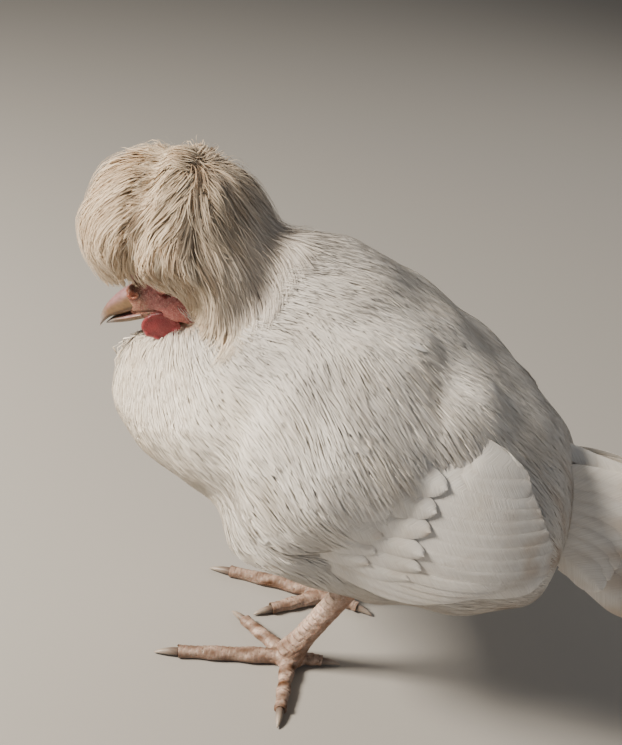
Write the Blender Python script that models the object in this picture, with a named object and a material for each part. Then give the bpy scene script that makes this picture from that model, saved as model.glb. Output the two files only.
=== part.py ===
# A life-size crested hen that rests hunched on both feet, its head drawn in under a globe of feathers.
# Metres, +Z up. It faces -X, with its left side towards -Y.
# Shapes are worked out with the origin on the floor between the feet. At the end the whole bird moves
# so that the origin is on the floor under the middle of its bounds.
import math
import random

import bmesh
import bpy
import numpy as np

gap = 0.0003  # kept between pieces that touch
vane_thickness = 0.0009  # of a feather at its root; it thins to half of this at its tip
vane_steps = 4
flat_angle = 0.6  # degrees within which neighbouring faces count as one
shingle = 0.0018  # how far the edges of a wing feather stand in and out, to lie over the next one

# The body from breast to rump: place along x, height of its top and underside, half width
body_rows = np.array(
    [
        (-0.1020, 0.138, 0.138, 0.000),
        (-0.0975, 0.150, 0.121, 0.023),
        (-0.0860, 0.155, 0.111, 0.038),
        (-0.0660, 0.176, 0.098, 0.052),
        (-0.0400, 0.210, 0.085, 0.062),
        (-0.0050, 0.215, 0.068, 0.067),
        (0.0300, 0.199, 0.053, 0.067),
        (0.0650, 0.177, 0.052, 0.062),
        (0.0920, 0.154, 0.057, 0.051),
        (0.1100, 0.136, 0.068, 0.034),
        (0.1180, 0.104, 0.104, 0.000),
    ]
)
body_fullness = 2.15  # 2 is an ellipse, more is squarer
back_narrowing = 0.20  # how much narrower the back is than the belly
neck_narrowing = 0.32  # how much narrower still at the neck
neck_reach = (-0.100, -0.060, -0.030, 0.015)  # x where that sets in, is full, still is, and has faded out
neck_line = ((-0.103, 0.128), (0.006, 0.213))  # x, z where the neck meets the torso, at throat and nape

# The head lies on an axis that starts at the tip of the bill and rises backwards
bill_tip = (-0.114, 0.155)
head_pitch = math.radians(27)
# Along that axis: distance from the tip of the bill, top, underside, half width
skull_rows = np.array(
    [
        (0.0225, 0.0125, -0.0045, 0.0062),
        (0.0300, 0.0158, -0.0060, 0.0092),
        (0.0400, 0.0200, -0.0080, 0.0128),
        (0.0500, 0.0235, -0.0095, 0.0150),
        (0.0600, 0.0240, -0.0110, 0.0155),
        (0.0700, 0.0185, -0.0100, 0.0120),
        (0.0750, 0.0060, 0.0060, 0.0000),
    ]
)
bill_rows = {
    "bill_upper": np.array(
        [
            (0.0000, -0.0022, -0.0030, 0.0004),
            (0.0030, 0.0024, -0.0014, 0.0018),
            (0.0080, 0.0064, 0.0003, 0.0036),
            (0.0150, 0.0100, 0.0004, 0.0052),
            (0.0222, 0.0122, 0.0005, 0.0062),
        ]
    ),
    "bill_lower": np.array(
        [
            (0.0042, -0.0018, -0.0026, 0.0011),
            (0.0090, -0.0001, -0.0034, 0.0030),
            (0.0150, 0.0001, -0.0042, 0.0044),
            (0.0222, 0.0002, -0.0045, 0.0056),
        ]
    ),
}
# Places on the head: along its axis, out from its middle, up from its axis
eye = {"at": (0.0455, 0.0122, 0.0125), "radii": (0.0048, 0.0048, 0.0048)}
upper_lid = {"at": (0.0455, 0.0125, 0.0157), "radii": (0.0056, 0.0034, 0.0019)}
lower_lid = {"at": (0.0455, 0.0125, 0.0093), "radii": (0.0056, 0.0034, 0.0019)}
nostril = {"at": (0.0275, 0.0052, 0.0096), "radii": (0.0056, 0.0036, 0.0042)}
nostril_hole = {"at": (0.0268, 0.0090, 0.0092), "radii": (0.0032, 0.0020, 0.0018)}
earlobe = {"at": (0.0580, 0.0140, 0.0010), "radii": (0.0050, 0.0022, 0.0040)}
comb = {"at": (0.0275, 0.0018, 0.0172), "radii": (0.0036, 0.0029, 0.0040)}
wattle = {
    "at": (0.0345, 0.0112, -0.0062),
    "radii": (0.0088, 0.0019, 0.0062),
    "folds": 5,
    "fold_radius": 0.0021,
}
mouth_line = {"from": 0.0190, "to": 0.0380, "depth": 0.0013}

# The crest: feathers that rise from the skull, part at a whorl on top and fall all round as a globe
crest = {
    "centre": (-0.079, 0.0, 0.203),
    "reach": (0.0430, 0.0425, 0.0420),
    "core": (0.0210, 0.0205, 0.0205),
    "rooted": 0.84,  # share of the way out through the core where the feathers start
    "skirt": 0.036,  # how much further the feathers reach low down at the back
    "skirt_way": (0.74, 0.0, -0.67),
    "whorl": (0.08, -0.04, 1.0),
    "half_width": 0.0108,
    "dip": 0.0040,  # how deep a feather lies at its middle, under the ones above
    "roll": 0.15,
}
# Each tier of the crest: how many feathers, angle from the whorl of their roots and tips
crest_tiers = ((14, 72, 118), (13, 50, 98), (11, 32, 76), (7, 17, 54), (4, 6, 33))
tip_spread = 3  # degrees by which the tips of a tier end unevenly
brow = ((-0.122, 0.189), (-0.047, 0.183))  # x, z of the line above which the crest ends, back to the ear

# The folded wing in side view (x, z): where the arm and its coverts lie, and how far they bulge
wing_arm = {
    "middle": (0.012, 0.150),
    "half_length": 0.050,
    "half_depth": 0.036,
    "slope": math.radians(58),
    "bulge": 0.0048,
    "edge": 0.0012,
}
wing_bed = -0.004  # how deep the arm's inner face is sunk before the body cuts it
wing_spread = 0.010  # how far the wing's end stands off the rump
spread_start, spread_reach = 0.03, 0.08  # place along x where that begins, and the length over which it grows
steepest = 0.985  # share of the body's half height up to which the flank is followed
# Rows of wing feathers, lowest row first: count, then first and last root, middle and tip, half width,
# and height above the arm's surface at root and tip
wing_rows = {
    "primaries": {
        "count": 4,
        "root": ((-0.004, 0.107), (0.008, 0.121)),
        "middle": ((0.032, 0.091), (0.052, 0.106)),
        "tip": ((0.066, 0.0925), (0.104, 0.112)),
        "half_width": 0.0052,
        "lift": (-0.0010, 0.0002),
    },
    "secondaries": {
        "count": 6,
        "root": ((0.012, 0.114), (0.036, 0.172)),
        "middle": ((0.060, 0.107), (0.060, 0.164)),
        "tip": ((0.104, 0.110), (0.081, 0.153)),
        "half_width": 0.0088,
        "lift": (-0.0024, 0.0024),
    },
    "tertials": {
        "count": 2,
        "root": ((0.034, 0.174), (0.030, 0.184)),
        "middle": ((0.056, 0.167), (0.045, 0.181)),
        "tip": ((0.076, 0.159), (0.060, 0.175)),
        "half_width": 0.0095,
        "lift": (-0.0010, 0.0046),
    },
    "greater_coverts": {
        "count": 5,
        "root": ((-0.006, 0.113), (0.020, 0.172)),
        "middle": ((0.020, 0.106), (0.038, 0.167)),
        "tip": ((0.045, 0.103), (0.055, 0.160)),
        "half_width": 0.0098,
        "lift": (-0.0026, 0.0040),
    },
    "median_coverts": {
        "count": 5,
        "root": ((-0.018, 0.122), (0.006, 0.182)),
        "middle": ((-0.002, 0.113), (0.018, 0.176)),
        "tip": ((0.018, 0.107), (0.034, 0.169)),
        "half_width": 0.0106,
        "lift": (-0.0028, 0.0048),
    },
}

# The tail droops behind the rump as a narrow tent of feathers
tail_ridge = (0.110, 0.0, 0.137)
tail_core = {"ahead": 0.008, "below": 0.027, "radii": (0.034, 0.013, 0.026), "droop": math.radians(10)}
tail_opening = (math.radians(10), math.radians(27))  # of each side of the tent, at root and tip
# From the top pair to the lowest: length, slope down; how far they lie out from the tent's sides
tail_rows = {
    "quills": {
        "pairs": 6,
        "length": (0.112, 0.098),
        "slope": (math.radians(3), math.radians(16)),
        "half_width": 0.0120,
        "spacing": 0.0078,
        "out": 0.0,
        "start": 0.008,
    },
    "coverts": {
        "pairs": 5,
        "length": (0.060, 0.048),
        "slope": (math.radians(2), math.radians(14)),
        "half_width": 0.0100,
        "spacing": 0.0094,
        "out": 0.0040,
        "start": 0.002,
    },
}
tail_roll = 0.22
tail_sag = 0.010

thigh = {
    "top": (-0.010, 0.041, 0.102),
    "top_radius": 0.028,
    "hock": (0.031, 0.030, 0.074),
    "hock_radius": 0.014,
}
thigh_line = ((-0.030, 0.094), (0.040, 0.085))  # x, z of the edge of the wing that covers the thigh
shank = {"half_depth": 0.0054, "half_width": 0.0044, "scutes": 8, "ankle": 0.013}
# Each foot: which side it is on, the middle of its pad, how far each toe turns out from straight ahead
feet = {
    "left": {"side": -1, "pad": (0.000, -0.026), "turns": (14, 96, -34, -168)},
    "right": {"side": 1, "pad": (0.010, 0.026), "turns": (1, 50, -37, -166)},
}
toes = {
    "names": ("middle", "outer", "inner", "hind"),
    "lengths": (0.056, 0.035, 0.034, 0.017),
    "half_widths": (0.0044, 0.0040, 0.0040, 0.0034),
    "scutes": (6, 4, 4, 2),
    "claws": (0.0105, 0.0090, 0.0095, 0.0085),
}
toe_height = 0.0066
pad_radius = 0.0076

# Colour and roughness
finishes = {
    "plumage": ((0.87, 0.83, 0.76, 1), 0.85),
    "crest_plumage": ((0.84, 0.76, 0.64, 1), 0.85),
    "face_skin": ((0.55, 0.16, 0.15, 1), 0.55),
    "wattle_skin": ((0.62, 0.10, 0.11, 1), 0.45),
    "bill_horn": ((0.50, 0.38, 0.32, 1), 0.45),
    "shank_scale": ((0.78, 0.62, 0.52, 1), 0.60),
    "claw_horn": ((0.60, 0.52, 0.44, 1), 0.45),
    "eye_glass": ((0.25, 0.08, 0.03, 1), 0.08),
}


def clear_scene():
    for obj in list(bpy.data.objects):
        bpy.data.objects.remove(obj, do_unlink=True)


def finish(obj, name, look):
    """Names a piece, gives it its material and shades its round faces smooth."""
    obj.name = name
    made = bpy.data.materials.new(name)
    made.use_nodes = True
    colour, roughness = finishes[look]
    shader = made.node_tree.nodes["Principled BSDF"]
    shader.inputs["Base Color"].default_value = colour
    shader.inputs["Roughness"].default_value = roughness
    made.diffuse_color = colour
    obj.data.materials.clear()
    obj.data.materials.append(made)
    obj.data.shade_smooth()
    obj.data.set_sharp_from_angle(angle=math.radians(40))
    bird.objects.link(obj)


# Shapes


def unit(v):
    return v / np.maximum(np.linalg.norm(v, axis=-1, keepdims=True), 1e-12)


def between(pair, share):
    return np.array(pair[0]) * (1 - share) + np.array(pair[1]) * share


def through(rows, count):
    """A smooth curve through the rows, read at even steps: a Catmull-Rom spline."""
    ends = np.vstack([2 * rows[0] - rows[1], rows, 2 * rows[-1] - rows[-2]])
    place = np.linspace(0, len(rows) - 1, count)
    index = np.minimum(place.astype(int), len(rows) - 2)
    t = (place - index)[:, None]
    a, b, c, d = (ends[index + k] for k in range(4))
    return 0.5 * (2 * b + (c - a) * t + (2 * a - 5 * b + 4 * c - d) * t**2 + (3 * b - a - 3 * c + d) * t**3)


def mesh_object(name, points, faces):
    mesh = bpy.data.meshes.new(name)
    mesh.from_pydata([tuple(p) for p in points], [], faces)
    form = bmesh.new()
    form.from_mesh(mesh)
    bmesh.ops.recalc_face_normals(form, faces=form.faces)
    form.to_mesh(mesh)
    form.free()
    return bpy.data.objects.new(name, mesh)


def loft(name, rings, start=None, end=None):
    """A closed mesh over rings of points; each end is drawn to a point, or closed flat with none given."""
    count, around = rings.shape[:2]
    points = list(rings.reshape(-1, 3))
    faces = []
    for ring in range(count - 1):
        for k in range(around):
            low, low_next = ring * around + k, ring * around + (k + 1) % around
            faces.append((low, low_next, low_next + around))
            faces.append((low, low_next + around, low + around))
    for ring, pole in ((0, start), (count - 1, end)):
        centre = len(points)
        points.append(rings[ring].mean(axis=0) if pole is None else pole)
        faces += [(ring * around + k, ring * around + (k + 1) % around, centre) for k in range(around)]
    return mesh_object(name, points, faces)


def superellipse(around, fullness):
    """Across and up round a superellipse of half size 1."""
    angle = np.linspace(0, 2 * math.pi, around, endpoint=False)
    across, up = np.sin(angle), np.cos(angle)
    return np.sign(across) * np.abs(across) ** (2 / fullness), np.sign(up) * np.abs(up) ** (2 / fullness)


def narrowed(x, up):
    """Share of the body's half width left at x, at height up from -1 to 1 in its section."""
    neck = np.interp(x, neck_reach, (0, 1, 1, 0))
    return 1 - (back_narrowing + neck_narrowing * neck) * np.maximum(up, 0)


def long_form(name, rows, count, around, place, fullness=2.0, grow=0.0):
    """A loft through rows of (along, top, underside, half width); place turns its own axes into points."""
    along, top, under, half = through(rows, count).T
    across, up = superellipse(around, fullness)
    middle, rise = (top + under) / 2, (top - under) / 2 + grow
    stretch = 1 + 2 * grow / (along[-1] - along[0])
    along = along.mean() + (along - along.mean()) * stretch
    rings = place(
        np.repeat(along[:, None], around, 1),
        (half[:, None] + grow) * across,
        middle[:, None],
        rise[:, None] * up,
    )
    first = 1 if half[0] == 0 else 0
    last = count - 1 if half[-1] == 0 else count
    poles = [place(along[k], 0.0, middle[k], 0.0) if half[k] == 0 else None for k in (0, -1)]
    return loft(name, rings[first:last], *poles)


def in_body(along, across, middle, rise):
    up = rise / np.maximum(np.abs(rise).max(axis=-1, keepdims=True), 1e-9) if np.ndim(rise) else 0.0
    return np.stack([along, across * narrowed(along, up), middle + rise], -1)


def in_head(along, across, middle, rise=0.0):
    c, s = math.cos(head_pitch), math.sin(head_pitch)
    up = middle + rise
    x = bill_tip[0] + along * c - up * s
    z = bill_tip[1] + along * s + up * c
    return np.stack([x, across + 0 * along, z], -1)


def ball(name, centre, radii, segments=12, rings=8, pitch=0.0):
    """An ellipsoid, its front turned down by pitch."""
    bpy.ops.mesh.primitive_uv_sphere_add(
        segments=segments, ring_count=rings, location=tuple(centre), rotation=(0, -pitch, 0), scale=tuple(radii)
    )
    obj = bpy.context.object
    obj.name = name
    obj.data.transform(obj.matrix_basis)
    obj.matrix_basis.identity()
    bpy.context.collection.objects.unlink(obj)
    return obj


def head_ball(name, spot, side, grow=0.0, segments=8, rings=6):
    """A ball set on one side of the head, turned with it."""
    along, out, up = spot["at"]
    radii = [r + grow for r in spot["radii"]]
    return ball(name, in_head(along, side * out, up), radii, segments, rings, head_pitch)


def slab(outer, inner):
    """A thin closed plate between two grids of points, split into the same triangles on both faces."""
    rows, columns = outer.shape[:2]
    points = np.concatenate([outer.reshape(-1, 3), inner.reshape(-1, 3)])
    under = rows * columns
    faces = []
    for row in range(rows - 1):
        for column in range(columns - 1):
            a = row * columns + column
            for k in (a, a + under):
                faces += [(k, k + 1, k + columns + 1), (k, k + columns + 1, k + columns)]
        for a in (row * columns, (row + 1) * columns - 1):
            faces += [(a, a + under, a + under + columns), (a, a + under + columns, a + columns)]
    for a in list(range(columns - 1)) + list(range(under - columns, under - 1)):
        faces += [(a, a + 1, a + 1 + under), (a, a + 1 + under, a + under)]
    return mesh_object("slab", points, faces)


def vane(path, normal, half_width, roll=0.0):
    """A flat feather along a path, tapered and thinner at its tip, turned about the path by roll."""
    tangent = unit(np.gradient(path, axis=0))
    side = unit(np.cross(tangent, normal))
    face = np.cross(side, tangent)
    side, face = side * math.cos(roll) + face * math.sin(roll), face * math.cos(roll) - side * math.sin(roll)
    side = side * half_width[:, None]
    face = face * (vane_thickness * (1 - np.linspace(0, 1, len(path)) / 2) / 2)[:, None]
    edges = np.stack([path - side, path + side], axis=1)
    return slab(edges + face[:, None], edges - face[:, None])


def feather_widths(half_width, root, tip, widest=0.6):
    """Half widths from root to tip: narrow, widest past the middle, rounded in at the tip."""
    share = np.linspace(0, 1, vane_steps)
    opening = root + (1 - root) * np.sin(np.minimum(share / widest, 1) * math.pi / 2)
    closing = 1 - (1 - tip) * np.maximum(share - widest, 0) ** 2 / (1 - widest) ** 2
    return half_width * opening * closing


# Joining and cutting; nodes made of many thin feathers need the solver named here
feather_solver = "MANIFOLD"


def keep_largest(obj):
    """Keeps only the closed surface that takes up the most room, and joins up its flat faces."""
    form = bmesh.new()
    form.from_mesh(obj.data)
    unseen, best, best_size = set(form.verts), set(), 0.0
    while unseen:
        front = [unseen.pop()]
        island = set(front)
        while front:
            vert = front.pop()
            near = {edge.other_vert(vert) for edge in vert.link_edges} & unseen
            unseen -= near
            island |= near
            front += near
        size = float(np.prod(np.ptp(np.array([v.co for v in island]), axis=0)))
        if size > best_size:
            best, best_size = island, size
    bmesh.ops.delete(form, geom=[v for v in form.verts if v not in best], context="VERTS")
    bmesh.ops.dissolve_limit(form, angle_limit=math.radians(flat_angle), verts=form.verts, edges=form.edges)
    bmesh.ops.triangulate(form, faces=form.faces)
    form.to_mesh(obj.data)
    form.free()


def combine(obj, operation, others, solver):
    """Joins or cuts obj with closed meshes in one step, and removes them."""
    group = bpy.data.collections.new("cutters")
    bpy.context.scene.collection.children.link(group)
    bpy.context.collection.objects.link(obj)
    for other in others:
        group.objects.link(other)
    modifier = obj.modifiers.new("form", "BOOLEAN")
    modifier.operation = operation
    modifier.operand_type = "COLLECTION"
    modifier.collection = group
    modifier.solver = solver
    graph = bpy.context.evaluated_depsgraph_get()
    mesh = bpy.data.meshes.new_from_object(obj.evaluated_get(graph))
    obj.modifiers.clear()
    obj.data = mesh
    bpy.context.collection.objects.unlink(obj)
    for other in others:
        bpy.data.objects.remove(other, do_unlink=True)
    bpy.data.collections.remove(group)
    keep_largest(obj)


def join(obj, pieces, solver="EXACT"):
    combine(obj, "UNION", pieces, solver)


def cut(obj, cutters, solver="EXACT"):
    combine(obj, "DIFFERENCE", cutters, solver)


# The parts


def body_form(name="body", grow=0.0):
    return long_form(name, body_rows, 19, 24, in_body, body_fullness, grow)


def skull_form(name="skull", grow=0.0):
    return long_form(name, skull_rows, 11, 18, in_head, grow=grow)


def head_beds():
    """The raised pieces of the head, each with a gap round it, to cut the crest clear of them."""
    beds = [skull_form(grow=gap)] + [bill_form(name, gap) for name in bill_rows]
    for side in (-1, 1):
        beds += [head_ball("bed", spot, side, gap) for spot in (upper_lid, lower_lid, earlobe, nostril, comb)]
        beds.append(head_ball("bed", eye, side, gap, 12, 8))
    return beds


def block_beyond(line, way):
    """A block above (way 1) or below (way -1) a line in side view, half the gap past it."""
    size = 0.6
    along = unit(np.array(line[1]) - np.array(line[0]))
    out = np.array((-along[1], along[0])) * way
    centre = np.array(line[0]) + out * (size - gap) / 2
    bpy.ops.mesh.primitive_cube_add(
        size=size, location=(centre[0], 0, centre[1]), rotation=(0, -math.atan2(out[1], out[0]), 0)
    )
    obj = bpy.context.object
    obj.data.transform(obj.matrix_basis)
    obj.matrix_basis.identity()
    bpy.context.collection.objects.unlink(obj)
    return obj


def make_trunk():
    """One body, parted by a slanting cut into torso and neck, with a bed for the head."""
    for name, way in (("torso", 1), ("neck", -1)):
        obj = body_form(name)
        cut(obj, [block_beyond(neck_line, way)] + head_beds())
        finish(obj, name, "plumage")


def make_head():
    """The skull with its lids, earlobes and raised nostrils, cut by the eye sockets, nostrils and mouth."""
    obj = skull_form("head")
    raised, hollows = [], []
    for side in (-1, 1):
        raised += [head_ball("raised", spot, side) for spot in (upper_lid, lower_lid, earlobe, nostril)]
        hollows.append(head_ball("socket", eye, side, gap, 12, 8))
        hollows.append(head_ball("hole", nostril_hole, side, 0, 8, 6))
        reach = np.linspace(mouth_line["from"], mouth_line["to"], vane_steps)
        out = np.interp(reach, skull_rows[:, 0], skull_rows[:, 3])
        line = in_head(reach, side * out * 0.95, np.full(vane_steps, 0.0006))
        upright = in_head(reach, 0 * reach, 0 * reach + 1) - in_head(reach, 0 * reach, 0 * reach)
        hollows.append(vane(line, upright, np.full(vane_steps, mouth_line["depth"])))
    join(obj, raised)
    cut(obj, hollows)
    finish(obj, "head", "face_skin")
    for side, word in ((-1, "left"), (1, "right")):
        finish(head_ball("eye", eye, side, 0, 12, 8), "eye_" + word, "eye_glass")


def bill_form(name, grow=0.0):
    return long_form(name, bill_rows[name], 8, 12, in_head, grow=grow)


def make_bill():
    for name in bill_rows:
        obj = bill_form(name)
        cut(obj, [head_ball("dome", nostril, side, gap) for side in (-1, 1)])
        finish(obj, name, "bill_horn")


def make_comb():
    """A small forked knob between the nostrils and the crest."""
    obj = head_ball("comb", comb, -1)
    join(obj, [head_ball("comb", comb, 1)])
    cut(obj, [skull_form(grow=gap)] + [head_ball("dome", nostril, side, gap) for side in (-1, 1)])
    finish(obj, "comb", "wattle_skin")


def make_wattles():
    """A thin lobe on each side of the throat with a swollen, folded rim."""
    for side, word in ((-1, "left"), (1, "right")):
        obj = head_ball("wattle", wattle, side, 0, 14, 8)
        along, out, up = wattle["at"]
        folds = []
        for k in range(wattle["folds"]):
            angle = math.radians(200 + 140 * k / (wattle["folds"] - 1))
            spot = (
                along + wattle["radii"][0] * 0.78 * math.cos(angle),
                out,
                up + wattle["radii"][2] * 0.78 * math.sin(angle),
            )
            folds.append(head_ball("fold", {"at": spot, "radii": [wattle["fold_radius"]] * 3}, side, 0, 6, 4))
        join(obj, folds)
        cut(obj, [skull_form(grow=gap), body_form(grow=gap)])
        finish(obj, "wattle_" + word, "wattle_skin")


def trunk_at(x):
    """Middle height, half height and half width of the body at x."""
    curve = through(body_rows, 81)
    top, under, half = (np.interp(x, curve[:, 0], curve[:, k]) for k in (1, 2, 3))
    return (top + under) / 2, np.maximum(top - under, 0.002) / 2, np.maximum(half, 0.001)


def trunk_depth(points):
    """Less than 1 where a point is inside the body's section, more where it is outside."""
    x, y, z = points.T
    middle, rise, half = trunk_at(x)
    up = (z - middle) / rise
    level = np.abs(y / (half * narrowed(x, up))) ** body_fullness + np.abs(up) ** body_fullness
    return np.where(x < body_rows[0, 0], 2.0, level)


def crest_path(root, tip, azimuth):
    """A feather that leaves the core, rises to the globe and follows it down from the whorl."""
    pole = unit(np.array(crest["whorl"]))
    ahead = unit(np.cross(np.cross(pole, (-1.0, 0, 0)), pole))
    beside = np.cross(pole, ahead)
    share = np.linspace(0, 1, vane_steps)
    angle = np.radians(root + (tip - root) * share)[:, None]
    way = np.cos(angle) * pole + np.sin(angle) * (math.cos(azimuth) * ahead + math.sin(azimuth) * beside)
    inner = crest["rooted"] / np.linalg.norm(way / np.array(crest["core"]), axis=1)
    outer = 1 / np.linalg.norm(way / np.array(crest["reach"]), axis=1)
    outer = outer + crest["skirt"] * np.maximum(way @ np.array(crest["skirt_way"]), 0) ** 3
    risen = np.sin(np.minimum(share / 0.5, 1) * math.pi / 2)
    sunk = crest["dip"] * (1 - np.maximum(share - 0.5, 0) / 0.5)
    return np.array(crest["centre"]) + way * (inner + (outer - sunk - inner) * risen)[:, None], way


def below_brow(path):
    """Whether a feather's path hangs over the face."""
    front, back = brow
    edge = np.interp(path[:, 0], (front[0], back[0]), (front[1], back[1]))
    return bool(np.any((path[:, 0] < back[0]) & (path[:, 2] < edge)))


def crest_feather(root, tip, azimuth):
    """A feather of the crest, drawn up step by step until it is clear of the neck and of the face."""
    step = 2
    clear_of_neck = 1.06
    path, normal = crest_path(root, tip, azimuth)
    while (trunk_depth(path).min() < clear_of_neck or below_brow(path)) and tip > root:
        tip -= step
        root -= step / 2
        path, normal = crest_path(root, tip, azimuth)
    return vane(path, normal, feather_widths(crest["half_width"], 0.25, 0.22), crest["roll"])


def make_crest():
    obj = ball("crest", crest["centre"], crest["core"], 14, 10)
    pieces = []
    draw = random.Random(11)
    for tier, (count, root, tip) in enumerate(crest_tiers):
        for k in range(count):
            azimuth = 2 * math.pi * (k + 0.5 * (tier % 2)) / count
            pieces.append(crest_feather(root, tip + draw.uniform(-tip_spread, tip_spread), azimuth))
    join(obj, pieces, feather_solver)
    wattle_beds = [head_ball("bed", wattle, side, gap, 16, 10) for side in (-1, 1)]
    cut(obj, head_beds() + wattle_beds + [body_form(grow=gap)], feather_solver)
    finish(obj, "crest", "crest_plumage")


def flank(x, z):
    """Points at x, z on the left flank; behind, the flank spreads off the rump."""
    middle, rise, half = trunk_at(x)
    spread = wing_spread * np.clip((x - spread_start) / spread_reach, 0, 1) ** 1.3
    up = np.clip((z - middle) / (rise + spread), -steepest, steepest)
    y = (half + spread) * narrowed(x, up) * (1 - np.abs(up) ** body_fullness) ** (1 / body_fullness)
    return np.stack([x, -y, z], -1)


def on_flank(x, z, lift):
    """Points lifted straight off the flank."""
    step = 1e-4
    foot = flank(x, z)
    normal = unit(np.cross(flank(x + step, z) - foot, flank(x, z + step) - foot))
    return foot + normal * -np.sign(normal[..., 1:2]) * np.asarray(lift)[..., None]


def arm_height(x, z):
    """How far the arm and its coverts bulge at x, z: a low dome, nothing outside it."""
    dx, dz = x - wing_arm["middle"][0], z - wing_arm["middle"][1]
    c, s = math.cos(wing_arm["slope"]), math.sin(wing_arm["slope"])
    share = np.hypot((dx * c + dz * s) / wing_arm["half_length"], (-dx * s + dz * c) / wing_arm["half_depth"])
    return wing_arm["edge"] + wing_arm["bulge"] * np.clip(1 - share**2, 0, 1)


def wing_arm_form(side):
    """The arm: a low dome on the flank, its inner face sunk in the body to be cut to it."""
    c, s = math.cos(wing_arm["slope"]), math.sin(wing_arm["slope"])
    angle = np.linspace(0, 2 * math.pi, 18, endpoint=False)
    mirrored = np.array([1, -side, 1])
    x, z = (np.array(v) for v in wing_arm["middle"])
    top = on_flank(x, z, arm_height(x, z)) * mirrored
    bottom = on_flank(x, z, wing_bed) * mirrored
    rings = []
    for share, sunk in ((0.35, False), (0.68, False), (1.0, False), (1.0, True)):
        u = share * wing_arm["half_length"] * np.cos(angle)
        v = share * wing_arm["half_depth"] * np.sin(angle)
        ring_x, ring_z = x + u * c - v * s, z + u * s + v * c
        height = np.full(len(angle), wing_bed) if sunk else arm_height(ring_x, ring_z)
        rings.append(on_flank(ring_x, ring_z, height) * mirrored)
    return loft("wing", np.array(rings), top, bottom)


def wing_feather(row, share, side):
    """One feather of a row, share 0 the lowest: a bent strip from root to tip that follows the flank."""
    root, middle, tip = (between(row[word], share) for word in ("root", "middle", "tip"))
    t = np.linspace(0, 1, vane_steps)[:, None]
    bend = 2 * middle - (root + tip) / 2
    line = root * (1 - t) ** 2 + bend * 2 * t * (1 - t) + tip * t**2
    along = unit(np.gradient(line, axis=0))
    across = np.stack([-along[:, 1], along[:, 0]], -1) * feather_widths(row["half_width"], 0.55, 0.45)[:, None]
    spots = np.stack([line - across, line + across], axis=1)
    x, z = spots[..., 0], spots[..., 1]
    height = between(row["lift"], t) + arm_height(*line.T)[:, None] + shingle * np.array([1, -1])
    thick = vane_thickness * (1 - t / 2) / 2
    mirrored = np.array([1, -side, 1])
    return slab(on_flank(x, z, height + thick) * mirrored, on_flank(x, z, height - thick) * mirrored)


def make_wings():
    for side, word in ((-1, "left"), (1, "right")):
        obj = wing_arm_form(side)
        pieces = []
        for row in wing_rows.values():
            pieces += [wing_feather(row, k / (row["count"] - 1), side) for k in range(row["count"])]
        join(obj, pieces, feather_solver)
        cut(obj, [body_form(grow=gap)], feather_solver)
        finish(obj, "wing_" + word, "plumage")


def tail_feather(row, rank, side):
    """One feather of the tail, rank 0 the top one: each lies over the next down the side of the tent."""
    share = rank / (row["pairs"] - 1)
    length, slope = (between(row[word], share) for word in ("length", "slope"))
    t = np.linspace(0, 1, vane_steps)
    widths = feather_widths(row["half_width"], 0.6, 0.5)
    opening = between(tail_opening, t)
    along = row["start"] + (length - row["start"]) * t
    down = widths * 0.9 + row["spacing"] * rank
    x = tail_ridge[0] + along * math.cos(slope)
    y = 0.0006 + down * np.sin(opening) + row["out"] * np.cos(opening)
    ridge = tail_ridge[2] - along * math.sin(slope) - tail_sag * t**2
    z = ridge - down * np.cos(opening) + row["out"] * np.sin(opening)
    normal = np.stack([0 * t, side * np.cos(opening), np.sin(opening)], -1)
    return vane(np.stack([x, side * y, z], -1), normal, widths, side * tail_roll)


def make_tail():
    droop = tail_core["droop"]
    centre = (tail_ridge[0] + tail_core["ahead"], 0, tail_ridge[2] - tail_core["below"])
    obj = ball("tail", centre, tail_core["radii"], 14, 10, -droop)
    pieces = []
    for row in tail_rows.values():
        for rank in range(row["pairs"]):
            pieces += [tail_feather(row, rank, side) for side in (-1, 1)]
    join(obj, pieces, feather_solver)
    cut(obj, [body_form(grow=gap)], feather_solver)
    finish(obj, "tail", "plumage")


def thigh_form(side, grow=0.0):
    """A feathered thigh from the flank back and down to the hock, domed at both ends."""
    top, hock = (np.array(thigh[word]) * (1, side, 1) for word in ("top", "hock"))
    axis = unit(hock - top)
    start, end = top - axis * thigh["top_radius"], hock + axis * thigh["hock_radius"]
    share = np.linspace(0, 1, 11)
    radius = thigh["top_radius"] + (thigh["hock_radius"] - thigh["top_radius"]) * share**1.5
    radius = radius * (1 - np.abs(2 * share - 1) ** 3.5) ** 0.5 + grow
    upward = unit(np.cross(axis, (0.0, 1.0, 0.0)))
    beside = np.cross(axis, upward)
    angle = np.linspace(0, 2 * math.pi, 18, endpoint=False)[:, None]
    circle = np.cos(angle) * upward + np.sin(angle) * beside
    rings = start + (end - start) * share[1:-1, None, None] + radius[1:-1, None, None] * circle
    return loft("thigh", rings, start - axis * grow, end + axis * grow)


def make_thighs():
    for side, word in ((-1, "left"), (1, "right")):
        obj = thigh_form(side)
        cut(obj, [body_form(grow=gap), block_beyond(thigh_line, 1)])
        finish(obj, "thigh_" + word, "plumage")


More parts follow.
